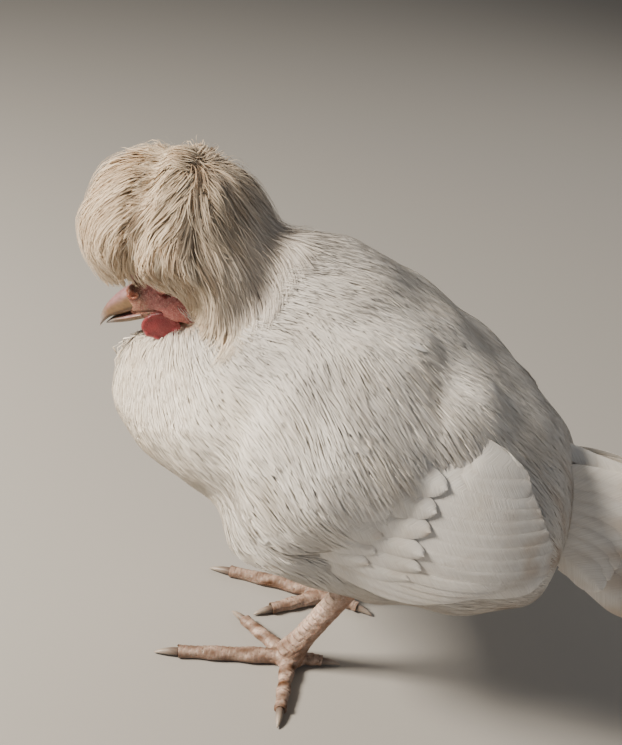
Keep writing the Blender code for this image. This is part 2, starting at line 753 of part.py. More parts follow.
def leg_rings(foot, start, end, scutes):
    """Rings up the leg from start to end above the pad; in front each scute's lower edge stands out."""
    pad = np.array((*foot["pad"], toe_height))
    hock = np.array(thigh["hock"]) * (1, foot["side"], 1)
    axis = unit(hock - pad)
    back = unit(np.cross((0.0, 1.0, 0.0), axis))
    beside = np.cross(axis, back)
    angle = np.linspace(0, 2 * math.pi, 10, endpoint=False)
    rings = []
    for k in range(scutes):
        low, high = (start + (end - start) * (k + edge) / scutes for edge in (0, 1))
        inset = (high - low) * 0.06
        for place, size in ((low + inset * (k > 0), 1.04), (high - inset * (k < scutes - 1), 0.93)):
            flare = 1 + 0.30 * math.exp(-((place / 0.010) ** 2))
            step = np.where(np.cos(angle) > 0.1, 1.0, size) * flare
            depth = np.cos(angle) * shank["half_depth"] * step
            width = np.sin(angle) * shank["half_width"] * step
            rings.append(pad + axis * place + depth[:, None] * back + width[:, None] * beside)
    return np.array(rings)


def make_shanks():
    for word, foot in feet.items():
        hock = np.array(thigh["hock"]) * (1, foot["side"], 1)
        length = np.linalg.norm(hock - (*foot["pad"], toe_height))
        obj = loft("shank", leg_rings(foot, shank["ankle"] + gap, length, shank["scutes"]))
        cut(obj, [body_form(grow=gap), thigh_form(foot["side"], gap)])
        finish(obj, "shank_" + word, "shank_scale")


def toe_rings(foot, which):
    """Rings of a toe that lies flat, soft pads under its joints, each scute's front edge standing out."""
    turn = math.radians(foot["turns"][which])
    way = np.array((-math.cos(turn), foot["side"] * math.sin(turn), 0.0))
    beside = np.array((-way[1], way[0], 0.0))
    scutes = toes["scutes"][which]
    angle = np.linspace(0, 2 * math.pi, 8, endpoint=False)
    places, sizes = [0.0], [1.0]
    for k in range(scutes):
        low, high = (0.16 + 0.84 * (k + edge) / scutes for edge in (0, 1))
        places += [low + 0.008, high - 0.008 * (k < scutes - 1)]
        sizes += [0.94, 1.04]
    rings = []
    for place, size in zip(places, sizes):
        joint = 1 + 0.10 * math.cos(2 * math.pi * place * 3)
        width = toes["half_widths"][which] * joint * (1 - 0.30 * place)
        height = toe_height * (1 - 0.28 * place)
        across = np.sin(angle) * width
        up = np.maximum(height * (0.5 + 0.56 * np.cos(angle) * np.where(np.cos(angle) > 0, size, 1)), 0)
        middle = np.array((*foot["pad"], 0.0)) + way * toes["lengths"][which] * place
        rings.append(middle + across[:, None] * beside + up[:, None] * np.array((0, 0, 1.0)))
    return np.array(rings), way, beside


def claw(foot, which):
    """A claw that starts where its toe ends and curves down to a point at the floor."""
    rings, way, beside = toe_rings(foot, which)
    end = rings[-1].mean(axis=0)
    height, half = np.ptp(rings[-1][:, 2]) * 0.40, toes["half_widths"][which] * 0.52
    share = np.linspace(0, 1, 5)
    out = gap + toes["claws"][which] * np.sin(share * 1.2) / math.sin(1.2)
    drop = (end[2] - 0.0010) * share**2
    angle = np.linspace(0, 2 * math.pi, 7, endpoint=False)
    made = []
    for k in range(4):
        size = 1 - 0.86 * share[k]
        lean = np.array((0, 0, 1.0)) * math.cos(share[k]) + way * math.sin(share[k])
        ring = end + way * out[k] - np.array((0, 0, drop[k]))
        ring = ring + np.sin(angle)[:, None] * beside * half * size
        ring = ring + np.cos(angle)[:, None] * lean * height * size
        ring[:, 2] = np.maximum(ring[:, 2], 0)
        made.append(ring)
    return loft("claw", np.array(made), None, end + way * out[4] - np.array((0, 0, drop[4])))


def make_feet():
    for word, foot in feet.items():
        radii = (pad_radius, pad_radius * 0.95, toe_height * 0.65)
        pad = ball("pad", (*foot["pad"], toe_height * 0.5), radii, 14, 8)
        for vertex in pad.data.vertices:
            vertex.co.z = max(vertex.co.z, 0.0)
        obj = loft("foot", leg_rings(foot, -0.002, shank["ankle"], 2))
        join(obj, [pad] + [loft("toe", toe_rings(foot, which)[0]) for which in range(4)], "MANIFOLD")
        finish(obj, "foot_" + word, "shank_scale")
        for which, name in enumerate(toes["names"]):
            finish(claw(foot, which), f"claw_{word}_{name}", "claw_horn")


def stand_on_floor():
    """Moves the whole bird so that the origin is on the floor under the middle of its bounds."""
    points = np.array([vertex.co for obj in bird.objects for vertex in obj.data.vertices])
    low, high = points.min(axis=0), points.max(axis=0)
    for obj in bird.objects:
        obj.location = (-(low[0] + high[0]) / 2, -(low[1] + high[1]) / 2, -low[2])


clear_scene()
bird = bpy.data.collections.new("crested_hen")
bpy.context.scene.collection.children.link(bird)
make_trunk()
make_head()
make_bill()
make_comb()
make_wattles()
make_crest()
make_wings()
make_tail()
make_thighs()
make_shanks()
make_feet()
stand_on_floor()
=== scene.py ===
import math

import bmesh
import bpy
import numpy as np
from mathutils import Matrix


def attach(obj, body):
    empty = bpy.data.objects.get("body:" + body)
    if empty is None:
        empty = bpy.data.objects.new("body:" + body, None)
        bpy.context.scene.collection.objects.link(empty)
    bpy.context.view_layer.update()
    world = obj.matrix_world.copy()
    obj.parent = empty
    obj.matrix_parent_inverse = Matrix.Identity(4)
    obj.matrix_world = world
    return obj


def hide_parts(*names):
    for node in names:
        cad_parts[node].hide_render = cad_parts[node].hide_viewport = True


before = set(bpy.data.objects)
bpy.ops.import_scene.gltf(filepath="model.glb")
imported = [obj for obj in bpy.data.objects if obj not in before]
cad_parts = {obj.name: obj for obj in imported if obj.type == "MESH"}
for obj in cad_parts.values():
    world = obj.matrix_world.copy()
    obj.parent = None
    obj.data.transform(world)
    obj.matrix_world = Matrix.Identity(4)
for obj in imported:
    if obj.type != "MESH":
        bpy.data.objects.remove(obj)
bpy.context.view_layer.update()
rng = np.random.default_rng(29)

# Shapes are worked out with the origin on the floor between the feet, the bird facing -X with its left side
# towards -Y, and then moved to where the model has its own origin.
birdMove = np.array((-0.0502, 0.0, 0.0))


# Small sums used everywhere

def unit(v):
    # v over its own length
    return v / np.maximum(np.linalg.norm(v, axis=-1, keepdims=True), 1e-12)


def dots(a, b):
    # the sum of a times b over the last axis, which stays
    return (a * b).sum(-1, keepdims=True)


def mixed(a, b, share):
    # a plus the share of the way to b
    return a + (b - a) * share


def moved(colours, other, shares):
    # each point's colour plus its own share of the way to another
    return mixed(colours, other, shares[:, None])


def easeStep(low, high, x):
    # 0 at low, 1 at high, 3t^2 - 2t^3 between
    t = np.clip((x - low) / (high - low), 0, 1)
    return t * t * (3 - 2 * t)


def softMin(a, b, reach):
    # the smaller of two distances, rounded where they differ by less than reach
    h = np.clip(0.5 + 0.5 * (b - a) / reach, 0, 1)
    return b + (a - b) * h - reach * h * (1 - h)


def throughRows(rows, count):
    # Catmull-Rom curve through the rows, read at even steps
    ends = np.vstack([2 * rows[0] - rows[1], rows, 2 * rows[-1] - rows[-2]])
    spot = np.linspace(0, len(rows) - 1, count)
    index = np.minimum(spot.astype(int), len(rows) - 2)
    t = (spot - index)[:, None]
    a, b, c, d = (ends[index + k] for k in range(4))
    return 0.5 * (2 * b + (c - a) * t + (2 * a - 5 * b + 4 * c - d) * t**2 + (3 * b - a - 3 * c + d) * t**3)


def evenDraws(count, start=0):
    # the R2 sequence: points that fill a unit square evenly, never in rows
    k = np.arange(start + 1, start + count + 1)
    return (0.5 + 0.7548776662 * k) % 1, (0.5 + 0.5698402910 * k) % 1


def ripple(p, size, seed):
    # smooth numbers from about -1 to 1 over space: five sine waves in seeded directions, of about this size
    draw = np.random.default_rng(seed)
    ways = unit(draw.normal(size=(5, 3))) * draw.uniform(0.7, 1.6, (5, 1)) * 2 * math.pi / size
    return np.sin(p @ ways.T + draw.uniform(0, 2 * math.pi, 5)).mean(-1) * 1.6


def mirrorY(p):
    # both sides folded onto y >= 0
    return np.stack([p[..., 0], np.abs(p[..., 1]), p[..., 2]], -1)


# The form of the bird, as distances to its surfaces

body = {
    "rows": np.array([  # along x: top, underside, half width
        (-0.1020, 0.138, 0.138, 0.000), (-0.0975, 0.150, 0.121, 0.023), (-0.0860, 0.155, 0.111, 0.038),
        (-0.0660, 0.176, 0.098, 0.052), (-0.0400, 0.210, 0.085, 0.062), (-0.0050, 0.215, 0.068, 0.067),
        (0.0300, 0.199, 0.053, 0.067), (0.0650, 0.177, 0.052, 0.062), (0.0920, 0.154, 0.057, 0.051),
        (0.1100, 0.136, 0.068, 0.034), (0.1180, 0.104, 0.104, 0.000)]),
    "fullness": 2.15, "backNarrowing": 0.20, "neckNarrowing": 0.32,
    "neckReach": (-0.100, -0.060, -0.030, 0.015),
    "coatDepth": 0.0055,  # from the outside of the coat down to the skin
}
thigh = {"top": (-0.010, 0.041, 0.102), "topRadius": 0.028, "hock": (0.031, 0.030, 0.074),
         "hockRadius": 0.0135}
head = {
    "tip": (-0.114, 0.155), "pitch": math.radians(27),  # the axis starts at the tip of the bill
    "rows": np.array([  # along the axis: top, underside, half width
        (0.0205, 0.0105, -0.0035, 0.0052), (0.0300, 0.0158, -0.0060, 0.0092),
        (0.0400, 0.0200, -0.0080, 0.0128), (0.0500, 0.0235, -0.0095, 0.0150),
        (0.0600, 0.0240, -0.0110, 0.0155), (0.0700, 0.0185, -0.0100, 0.0120),
        (0.0750, 0.0060, 0.0060, 0.0000)]),
    "eye": (0.0455, 0.0122, 0.0125), "eyeRadius": 0.0048,
    "middle": (-0.076, 0.0, 0.186),
    # raised forms on both sides: middle, half sizes, how far they blend in
    "raised": (((0.0500, 0.0100, 0.0010), (0.0120, 0.0068, 0.0090), 0.005),  # cheek
               ((0.0275, 0.0052, 0.0096), (0.0056, 0.0036, 0.0042), 0.0015),  # swelling over the nostril
               ((0.0590, 0.0155, 0.0000), (0.0052, 0.0026, 0.0046), 0.0015)),  # ear lobe
    "slot": ((0.0262, 0.0090, 0.0092), (0.0024, 0.0018, 0.0009), 0.0006),  # opening of the nostril
    "lid": {"over": 1.20, "under": 1.02, "opening": (0.0048, 0.0036), "blend": 0.0012},
    "mouth": {"line": 0.0006, "fall": 0.10, "bend": 0.030, "end": (0.041, 0.037), "depth": 0.0009,
              "half": 0.0006},
}
bodyCurve = throughRows(body["rows"], 141)
headCurve = throughRows(head["rows"], 61)
headCos, headSin = math.cos(head["pitch"]), math.sin(head["pitch"])


def narrowed(x, up):
    # 1 below the middle, less in step with the height above it, more so at the neck
    neck = np.interp(x, body["neckReach"], (0, 1, 1, 0))
    return 1 - (body["backNarrowing"] + body["neckNarrowing"] * neck) * np.maximum(up, 0)


def sectionDistance(curve, along, across, height, fullness, slim):
    # reach from the section's middle, less the section's own reach that way: |y/w|^n + |z/h|^n = 1
    top, under, half = (np.interp(along, curve[:, 0], curve[:, k]) for k in (1, 2, 3))
    middle, rise = (top + under) / 2, np.maximum((top - under) / 2, 0.0012)
    up = (height - middle) / rise
    width = np.maximum(half, 0.0012) * (narrowed(along, up) if slim else 1.0)
    level = (np.abs(across / width) ** fullness + np.abs(up) ** fullness) ** (1 / fullness)
    reach = np.hypot(across, height - middle)
    beyond = np.maximum(np.maximum(along - curve[-1, 0], curve[0, 0] - along), 0)
    return reach * (1 - 1 / np.maximum(level, 1e-5)) + beyond


def bodyDistance(p):
    # distance to the outside of the torso's and neck's coat
    return sectionDistance(bodyCurve, p[..., 0], p[..., 1], p[..., 2], body["fullness"], True)


def thighDistance(p):
    # a capsule from the flank to the hock, its radius easing from one end to the other
    a, b = np.array(thigh["top"]), np.array(thigh["hock"])
    q = mirrorY(p) - a
    t = np.clip((q @ (b - a)) / ((b - a) @ (b - a)), 0, 1)
    radius = thigh["topRadius"] + (thigh["hockRadius"] - thigh["topRadius"]) * t**1.5
    return np.linalg.norm(q - t[..., None] * (b - a), axis=-1) - radius


def coatDistance(p):
    # the smaller of the distances to body and thighs, rounded
    return softMin(bodyDistance(p), thighDistance(p), 0.010)


def toHead(p):
    # along the head's axis, out from its middle, up from the axis
    x, z = p[..., 0] - head["tip"][0], p[..., 2] - head["tip"][1]
    return np.stack([x * headCos + z * headSin, p[..., 1], -x * headSin + z * headCos], -1)


def fromHead(along, out, up):
    # the way back from the head's own axes: a turn by its pitch about the tip of the bill
    x = head["tip"][0] + along * headCos - up * headSin
    z = head["tip"][1] + along * headSin + up * headCos
    return np.stack(np.broadcast_arrays(x, out, z), -1).astype(float)


def ballDistance(q, at, radii):
    # distance to an ellipsoid, near enough close to its surface
    k = np.linalg.norm((q - at) / radii, axis=-1)
    return k * (k - 1) / np.maximum(np.linalg.norm((q - at) / np.square(radii), axis=-1), 1e-9)


def skullDistance(p):
    # skull, cheeks, nostril swellings, ear lobes and lids, less the eye sockets and the line of the mouth
    q = toHead(p)
    side = mirrorY(q)
    skull = sectionDistance(headCurve, q[..., 0], q[..., 1], q[..., 2], 2.0, False)
    for at, radii, blend in head["raised"]:
        skull = softMin(skull, ballDistance(side, at, np.array(radii)), blend)
    at, radii, blend = head["slot"]
    skull = -softMin(-skull, ballDistance(side, at, np.array(radii)), blend)
    eye, lid, mouth = np.array(head["eye"]), head["lid"], head["mouth"]
    fromEye = np.linalg.norm(side - eye, axis=-1)
    lidBall = fromEye - head["eyeRadius"] * lid["over"]
    long, tall = lid["opening"]
    half = tall * np.sqrt(np.maximum(1 - ((side[..., 0] - eye[0]) / long) ** 2, 0))
    opening = np.abs(side[..., 2] - eye[2]) - half
    ring = np.maximum(lidBall, -np.where(side[..., 1] > eye[1] - 0.001, opening, 0.001))
    skull = softMin(skull, ring, lid["blend"])
    skull = np.maximum(skull, head["eyeRadius"] * lid["under"] - fromEye)
    mouthUp = mouth["line"] - mouth["fall"] * np.maximum(q[..., 0] - mouth["bend"], 0)
    groove = np.exp(-((q[..., 2] - mouthUp) / mouth["half"]) ** 2) * easeStep(*mouth["end"], q[..., 0])
    return skull + mouth["depth"] * groove


legs = {
    "hock": (0.031, 0.030, 0.074), "toeHeight": 0.0066, "padRadius": 0.0076, "halfDepth": 0.0054,
    "halfWidth": 0.0044,
    "feet": {"left": (-1, (0.000, -0.026), (14, 96, -34, -168)),
             "right": (1, (0.010, 0.026), (1, 50, -37, -166))},
    "toeLengths": (0.056, 0.035, 0.034, 0.017), "toeHalves": (0.0044, 0.0040, 0.0040, 0.0034),
    "claws": (0.0105, 0.0090, 0.0095, 0.0085), "clawNames": ("middle", "outer", "inner", "hind"),
}


def limbList():
    # each limb: its kind, start, end, and which way its scutes face
    limbs = []
    for side, pad, turns in legs["feet"].values():
        start, end = np.array((*pad, legs["toeHeight"])), np.array(legs["hock"]) * (1, side, 1)
        axis = unit(end - start)
        front = unit(np.array((-1.0, 0, 0)) + axis * axis[0])
        limbs.append(("shank", start, end, front, legs["halfWidth"]))
        for length, half, turn in zip(legs["toeLengths"], legs["toeHalves"], np.radians(turns)):
            start = np.array((*pad, legs["toeHeight"] / 2))
            way = np.array((-math.cos(turn), side * math.sin(turn), 0.0))
            limbs.append(("toe", start, start + way * length, np.array((0, 0, 1.0)), half))
    return limbs


limbs = limbList()


def limbSpot(p, limb):
    # share of the way along a limb, place across, up and past its end, and its half sizes there
    kind, start, end, up, half = limb
    axis = end - start
    t = np.clip(((p - start) @ axis) / (axis @ axis), 0, 1)
    out = p - start - t[..., None] * axis
    axis = unit(axis)
    across = out @ np.cross(axis, up)
    if kind == "toe":
        high = legs["toeHeight"] * (1 - 0.28 * t)
        rise = out @ up + (legs["toeHeight"] - high) / 2
        wide = half * (1 + 0.10 * np.cos(6 * math.pi * t)) * (1 - 0.30 * t)
        return t, across, rise, out @ axis, wide, 0.56 * high
    flare = 1 + 0.30 * np.exp(-((t * np.linalg.norm(end - start) / 0.010) ** 2)) + 0.18 * t**4
    return t, across, out @ up, out @ axis, half * flare, legs["halfDepth"] * flare


def limbDistance(p, limb):
    # distance to an ellipsoid's section carried along the limb, capped past both its ends
    _, across, rise, past, wide, high = limbSpot(p, limb)
    capped = np.stack([across, rise, past], -1)
    radii = np.stack([wide, high, 0 * wide + 0.0012], -1)
    k = np.linalg.norm(capped / radii, axis=-1)
    return k * (k - 1) / np.maximum(np.linalg.norm(capped / radii**2, axis=-1), 1e-9)


def legsDistance(p):
    # the smallest of the distances to the limbs and the pads, rounded
    found = None
    for limb in limbs:
        one = limbDistance(p, limb)
        found = one if found is None else softMin(found, one, 0.0022)
    for _, pad, _ in legs["feet"].values():
        radius, high = legs["padRadius"], legs["toeHeight"]
        halves = np.array((radius, radius * 0.95, high * 0.65))
        found = softMin(found, ballDistance(p, (*pad, high / 2), halves), 0.0022)
    return found


def skinDistance(p):
    # the whole naked bird: body and thighs without the depth of their coat, head and legs
    skin = softMin(coatDistance(p) + body["coatDepth"], skullDistance(p), 0.006)
    return softMin(skin, legsDistance(p), 0.004)


def slopeOf(field, p):
    # a field's value, and its slope by a step along each axis
    value = field(p)
    step = 1e-4
    slope = np.stack([(field(p + np.eye(3)[k] * step) - value) / step for k in range(3)], -1)
    return value, slope


def pushTo(value, slope, height):
    # the move along the slope that brings a point to this height, never more than 4 mm at once
    push = (value - height)[..., None] * slope / np.maximum(dots(slope, slope), 0.05)
    return push * np.minimum(1, 0.004 / np.maximum(np.linalg.norm(push, axis=-1, keepdims=True), 1e-9))


def settled(field, p, height, times=3):
    # points pushed along the slope, a few times, until they lie at this height over the field
    for _ in range(times):
        p = p - pushTo(*slopeOf(field, p), height)
    return p


# Meshes from arrays

def meshPiece(name, points, faces, finish, replaces=(), maps=None, values=None, colours=None, rims=None,
              which=None):
    # one mesh from arrays; maps are UV maps by point, values and colours are point attributes, an edge
    # between two points that rims marks alike is sharp, which tells each face's material in a list finish
    mesh = bpy.data.meshes.new(name)
    points = np.asarray(points + birdMove, np.float32)
    sides = faces.shape[1]
    mesh.vertices.add(len(points))
    mesh.vertices.foreach_set("co", points.ravel())
    mesh.loops.add(faces.size)
    mesh.loops.foreach_set("vertex_index", faces.ravel().astype(np.int32))
    mesh.polygons.add(len(faces))
    mesh.polygons.foreach_set("loop_start", (np.arange(len(faces)) * sides).astype(np.int32))
    mesh.update(calc_edges=True)
    for mapName, uv in (maps or {}).items():
        layer = mesh.uv_layers.new(name=mapName)
        layer.data.foreach_set("uv", np.asarray(uv, np.float32)[faces.ravel()].ravel())
    for key, value in (values or {}).items():
        mesh.attributes.new(key, "FLOAT", "POINT").data.foreach_set("value", np.asarray(value, np.float32))
    for key, value in (colours or {}).items():
        rgba = np.concatenate([value, np.ones((len(value), 1))], 1).astype(np.float32)
        mesh.attributes.new(key, "FLOAT_COLOR", "POINT").data.foreach_set("color", rgba.ravel())
    mesh.shade_smooth()
    if rims is not None:
        ends = np.empty(len(mesh.edges) * 2, np.int32)
        mesh.edges.foreach_get("vertices", ends)
        marks = rims[ends.reshape(-1, 2)]
        sharp = (marks[:, 0] == marks[:, 1]) & (marks[:, 0] > 0)
        mesh.attributes.new("sharp_edge", "BOOLEAN", "EDGE").data.foreach_set("value", sharp)
    for material in finish if isinstance(finish, (list, tuple)) else (finish,):
        mesh.materials.append(material)
    if which is not None:
        mesh.polygons.foreach_set("material_index", which.astype(np.int32))
    obj = bpy.data.objects.new(name, mesh)
    bpy.context.scene.collection.objects.link(obj)
    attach(obj, "root")
    if replaces:
        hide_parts(*replaces)
    return obj


def tubeFaces(rings, around):
    # triangles over rings of points, with a fan of them at both ends
    r, k = np.meshgrid(np.arange(rings - 1), np.arange(around), indexing="ij")
    a, b = (r * around + k).ravel(), (r * around + (k + 1) % around).ravel()
    sides = np.concatenate([np.stack([a, b, b + around], -1), np.stack([a, b + around, a + around], -1)])
    k = np.arange(around)
    last = (rings - 1) * around
    start = np.stack([(k + 1) % around, k, np.full(around, rings * around)], -1)
    end = np.stack([last + k, last + (k + 1) % around, np.full(around, rings * around + 1)], -1)
    return np.concatenate([sides, start, end])


def outward(points, faces):
    # turns a closed surface the right way out: its volume, summed over triangles, has to be positive
    a, b, c = (points[faces[:, k]] for k in range(3))
    return faces if (a * np.cross(b - a, c - a)).sum() > 0 else faces[:, ::-1]


def closedTube(rings, ends=None):
    # rings closed over their middles, or over the two end points given
    tips = np.stack([rings[0].mean(0), rings[-1].mean(0)]) if ends is None else np.array(ends)
    points = np.concatenate([rings.reshape(-1, 3), tips])
    return points, outward(points - points.mean(0), tubeFaces(*rings.shape[:2]))


def ballGrid(around, rings):
    # directions over a ball from its rear pole to its front pole, as rings without the poles
    polar = np.linspace(0, math.pi, rings + 2)[1:-1, None]
    turn = np.linspace(0, 2 * math.pi, around, endpoint=False)[None]
    return np.stack([-np.cos(polar) + 0 * turn, np.sin(polar) * np.sin(turn), np.sin(polar) * np.cos(turn)],
                    -1)


# Feathers as paths over a surface

def stepShares(steps):
    # steps along a feather, closer together towards its tip
    return 1 - (1 - np.linspace(0, 1, steps)) ** 1.4


def layPaths(roots, lengths, heights, flow, field, turn=0.0):
    # each path goes on along the flow over the surface, settling at every step at the height given for it
    steps = heights.shape[1]
    turn = np.zeros((len(roots), steps)) + turn
    strides = np.append(np.diff(stepShares(steps)), 0)
    paths, normals = [], []
    p = settled(field, roots, heights[:, 0])
    for k in range(steps):
        value, slope = slopeOf(field, p)
        p = p - pushTo(value, slope, heights[:, k])
        normal = unit(slope)
        paths.append(p)
        normals.append(normal)
        way = flow(p)
        way = unit(way - normal * dots(way, normal))
        way = unit(way + np.cross(normal, way) * turn[:, k, None])
        p = p + way * (lengths * strides[k])[:, None]
    return np.stack(paths, 1), np.stack(normals, 1)


def vaneMesh(paths, normals, widths, thick, cup, spots, seeds, roll, ridged=True):
    # thin closed vanes: at each step a ring of left edge, ridge (if ridged), right edge and underside
    count, steps = paths.shape[:2]
    tangent = unit(np.gradient(paths, axis=1))
    side = unit(np.cross(normals, tangent))
    face = np.cross(tangent, side)
    roll = np.reshape(roll, (-1, 1, 1))
    side, face = side * np.cos(roll) + face * np.sin(roll), face * np.cos(roll) - side * np.sin(roll)
    wide = widths[..., None]
    share = stepShares(steps)[None, :, None]
    deep = np.minimum(thick * (1.15 - share), wide * 0.8)
    edge = -face * wide * cup
    ring = [paths + side * wide + edge, paths + face * deep * 0.4, paths - side * wide + edge,
            paths - face * deep * 0.6 + edge]
    columns, marks = (0.5, 0, -0.5, 0), (1, 0, 2, 0)
    if not ridged:
        ring, columns, marks = ring[:1] + ring[2:], (0.5, -0.5, 0), (1, 2, 0)
    around = len(ring)
    r, k = np.meshgrid(np.arange(steps - 1), np.arange(around), indexing="ij")
    a, b = (r * around + k).ravel(), (r * around + (k + 1) % around).ravel()
    one = [np.stack([a, b, b + around], -1), np.stack([a, b + around, a + around], -1)]
    last = (steps - 1) * around
    for j in range(1, around - 1):
        one.append(np.array([(0, j + 1, j), (last, last + j, last + j + 1)]))
    one = np.concatenate(one)
    faces = (one[None] + (np.arange(count) * steps * around)[:, None, None]).reshape(-1, 3)
    stride = np.linalg.norm(np.diff(paths, axis=1), axis=-1)
    gone = np.concatenate([np.zeros((count, 1)), np.cumsum(stride, 1)], 1)
    columns = np.array(columns)
    across = 2 * widths[..., None] * columns
    vane = np.stack([across, np.repeat(gone[..., None], around, -1)], -1).reshape(-1, 2)
    small = np.stack([np.broadcast_to(columns * 0.003, across.shape),
                      np.broadcast_to((share - 0.5) * 0.003, across.shape)], -1)
    bake = (small + spots[:, None, None]).reshape(-1, 2)
    values = {"along": np.broadcast_to(share, across.shape).reshape(-1),
              "seed": np.repeat(seeds, steps * around)}
    maps = {"OFBake": bake, "vane": vane}
    return np.stack(ring, 2).reshape(-1, 3), faces, maps, values, np.tile(marks, count * steps)


def slabMesh(outer, inner, spots, seeds):
    # closed plates between two grids of points, each grid (feather, step, column), with their maps
    count, steps, columns = outer.shape[:3]
    one = steps * columns
    r, k = np.meshgrid(np.arange(steps - 1), np.arange(columns - 1), indexing="ij")
    a = (r * columns + k).ravel()
    top = np.concatenate([np.stack([a, a + columns, a + columns + 1], -1),
                          np.stack([a, a + columns + 1, a + 1], -1)])
    border = np.concatenate([np.arange(columns), np.arange(1, steps) * columns + columns - 1,
                             one - 2 - np.arange(columns - 1), np.arange(steps - 2, 0, -1) * columns])
    after = np.roll(border, -1)
    wall = np.concatenate([np.stack([border, after, after + one], -1),
                           np.stack([border, after + one, border + one], -1)])
    faces = np.concatenate([top, top[:, ::-1] + one, wall])
    points = np.concatenate([outer.reshape(count, one, 3), inner.reshape(count, one, 3)], 1)
    turned = np.array([outward(shell - shell.mean(0), faces) for shell in points])
    faces = (turned + (np.arange(count) * 2 * one)[:, None, None]).reshape(-1, 3)
    middle = outer[:, :, columns // 2]
    pace = np.linalg.norm(np.diff(middle, axis=1), axis=-1)
    gone = np.concatenate([np.zeros((count, 1)), np.cumsum(pace, 1)], 1)
    sides = np.linalg.norm(outer - middle[:, :, None], axis=-1) * np.sign(np.arange(columns) - columns // 2)
    vane = np.stack([sides, np.repeat(gone[..., None], columns, -1)], -1).reshape(count, one, 2)
    u, v = np.meshgrid(np.linspace(-0.5, 0.5, columns), np.linspace(-0.5, 0.5, steps))
    small = np.stack([u, v], -1).reshape(1, one, 2) * 0.003 + spots[:, None]
    share = np.broadcast_to(np.repeat(np.linspace(0, 1, steps), columns), (count, one))[..., None]
    rims = np.tile(np.isin(np.arange(2 * one) % one, border) * (1 + np.arange(2 * one) // one), count)

    def twice(grid):
        return np.concatenate([grid, grid], 1).reshape(count * 2 * one, -1)

    values = {"along": twice(share)[:, 0], "seed": np.repeat(seeds, 2 * one)}
    return points.reshape(-1, 3), faces, {"OFBake": twice(small), "vane": twice(vane)}, values, rims


def leafWidths(half, steps, root=0.35, widest=0.60):
    # half widths of a feather: opens as a sine from its root, then closes as a quarter ellipse to a round tip
    s = stepShares(steps)
    opening = root + (1 - root) * np.sin(np.minimum(s / widest, 1) * math.pi / 2)
    closing = np.sqrt(1 - (np.maximum(s - widest, 0) / (1 - widest) * 0.999) ** 2)
    return np.asarray(half)[:, None] * opening * closing


def lockWidths(half, steps, root=0.5, tip=0.08):
    # half widths of a lock of barbs: widest in its first half, drawn out to a fine tip
    return np.asarray(half)[:, None] * np.interp(stepShares(steps), (0, 0.25, 0.6, 1), (root, 1, 0.8, tip))


def gathered(paths, tufts, pull):
    # feathers lean to the tuft with the nearest root: p + (tuft - p) * pull * share^1.3
    size = (tufts[:, 0] ** 2).sum(1)
    parts = np.array_split(paths[:, 0], 1 + len(paths) // 4000)
    near = np.concatenate([np.argmin(size - 2 * part @ tufts[:, 0].T, axis=1) for part in parts])
    share = stepShares(paths.shape[1])[None, :, None] ** 1.3
    return paths + (tufts[near] - paths) * (pull * share), near


def inPieces(name, count, limit, make):
    # cuts a coat into pieces that each stay under the limit of feathers
    parts = max(1, math.ceil(count / limit))
    for k in range(parts):
        make(name if parts == 1 else f"{name}{k + 1}", np.arange(k, count, parts))


def bodySpot(p):
    # the body's skin unrolled round its long axis
    middle = np.interp(p[:, 0], bodyCurve[:, 0], (bodyCurve[:, 1] + bodyCurve[:, 2]) / 2)
    angle = np.arctan2(p[:, 1], p[:, 2] - middle)
    return np.stack([0.5 + angle / (2 * math.pi) * 0.97, 0.02 + (p[:, 0] + 0.125) / 0.31], -1)


# Colours of the coat

# the crest's tan-brown is partly its own tan and partly painted shade between its tufts; the grey is partly
# painted shade under and behind the crest
tones = {
    "white": (0.88, 0.84, 0.78), "cream": (0.84, 0.70, 0.51), "warm": (0.66, 0.48, 0.30),
    "grey": (0.44, 0.41, 0.38), "stain": (0.40, 0.22, 0.09), "crest": (0.86, 0.725, 0.54),
    "crestTanAndShade": (0.36, 0.215, 0.115),
}


def tone(name):
    # one of the coat's colours as an array
    return np.array(tones[name])


def coatColour(p, seeds):
    # white, warmer on the breast, grey down the hackle, stained brown at the vent and rump, warmer and darker
    # below
    x, z = p[:, 0], p[:, 2]
    colour = np.repeat(tone("white")[None], len(p), 0)
    breast = easeStep(0.02, -0.09, x) * easeStep(0.19, 0.15, z)
    cream = 0.40 * breast + 0.16 * np.clip(ripple(p, 0.035, 3), 0, 1)
    colour = moved(colour, tone("cream"), cream)
    # partly painted shade: the hackle is grey, and painted greyer still where the crest shades it
    hackle = easeStep(0.040, 0.0, x) * easeStep(0.150, 0.180, z)
    colour = moved(colour, tone("grey"), 0.80 * hackle * (0.75 + 0.25 * ripple(p, 0.02, 5)))
    rear = easeStep(0.070, 0.110, x) * easeStep(0.155, 0.115, z)
    colour = moved(colour, tone("stain"), 0.60 * rear * np.clip(ripple(p, 0.014, 8) + 0.1, 0, 1))
    colour = moved(colour, tone("warm"), 0.30 * easeStep(0.085, 0.055, z))
    return np.clip(colour * (0.97 + 0.05 * seeds[:, None]), 0, 1)


# Finishes

def newMaterial(name):
    # a material with its node tree and its shader
    material = bpy.data.materials.new(name)
    material.use_nodes = True
    tree = material.node_tree
    return material, tree, tree.nodes["Principled BSDF"]


def feed(tree, node, inputs):
    # links what comes from another node, and sets the other inputs
    for key, value in inputs.items():
        if isinstance(value, bpy.types.NodeSocket):
            tree.links.new(value, node.inputs[key])
        else:
            node.inputs[key].default_value = value
    return node


def addNode(tree, kind, inputs=None, **settings):
    # a node with its settings, fed with its inputs
    node = tree.nodes.new(kind)
    for key, value in settings.items():
        setattr(node, key, value)
    return feed(tree, node, inputs or {})


def readAttribute(tree, name, output="Color"):
    # an attribute that the mesh carries by point
    return addNode(tree, "ShaderNodeAttribute", attribute_name=name).outputs[output]


def objectPlace(tree):
    # the point's place in the object's own axes
    return addNode(tree, "ShaderNodeTexCoord").outputs["Object"]


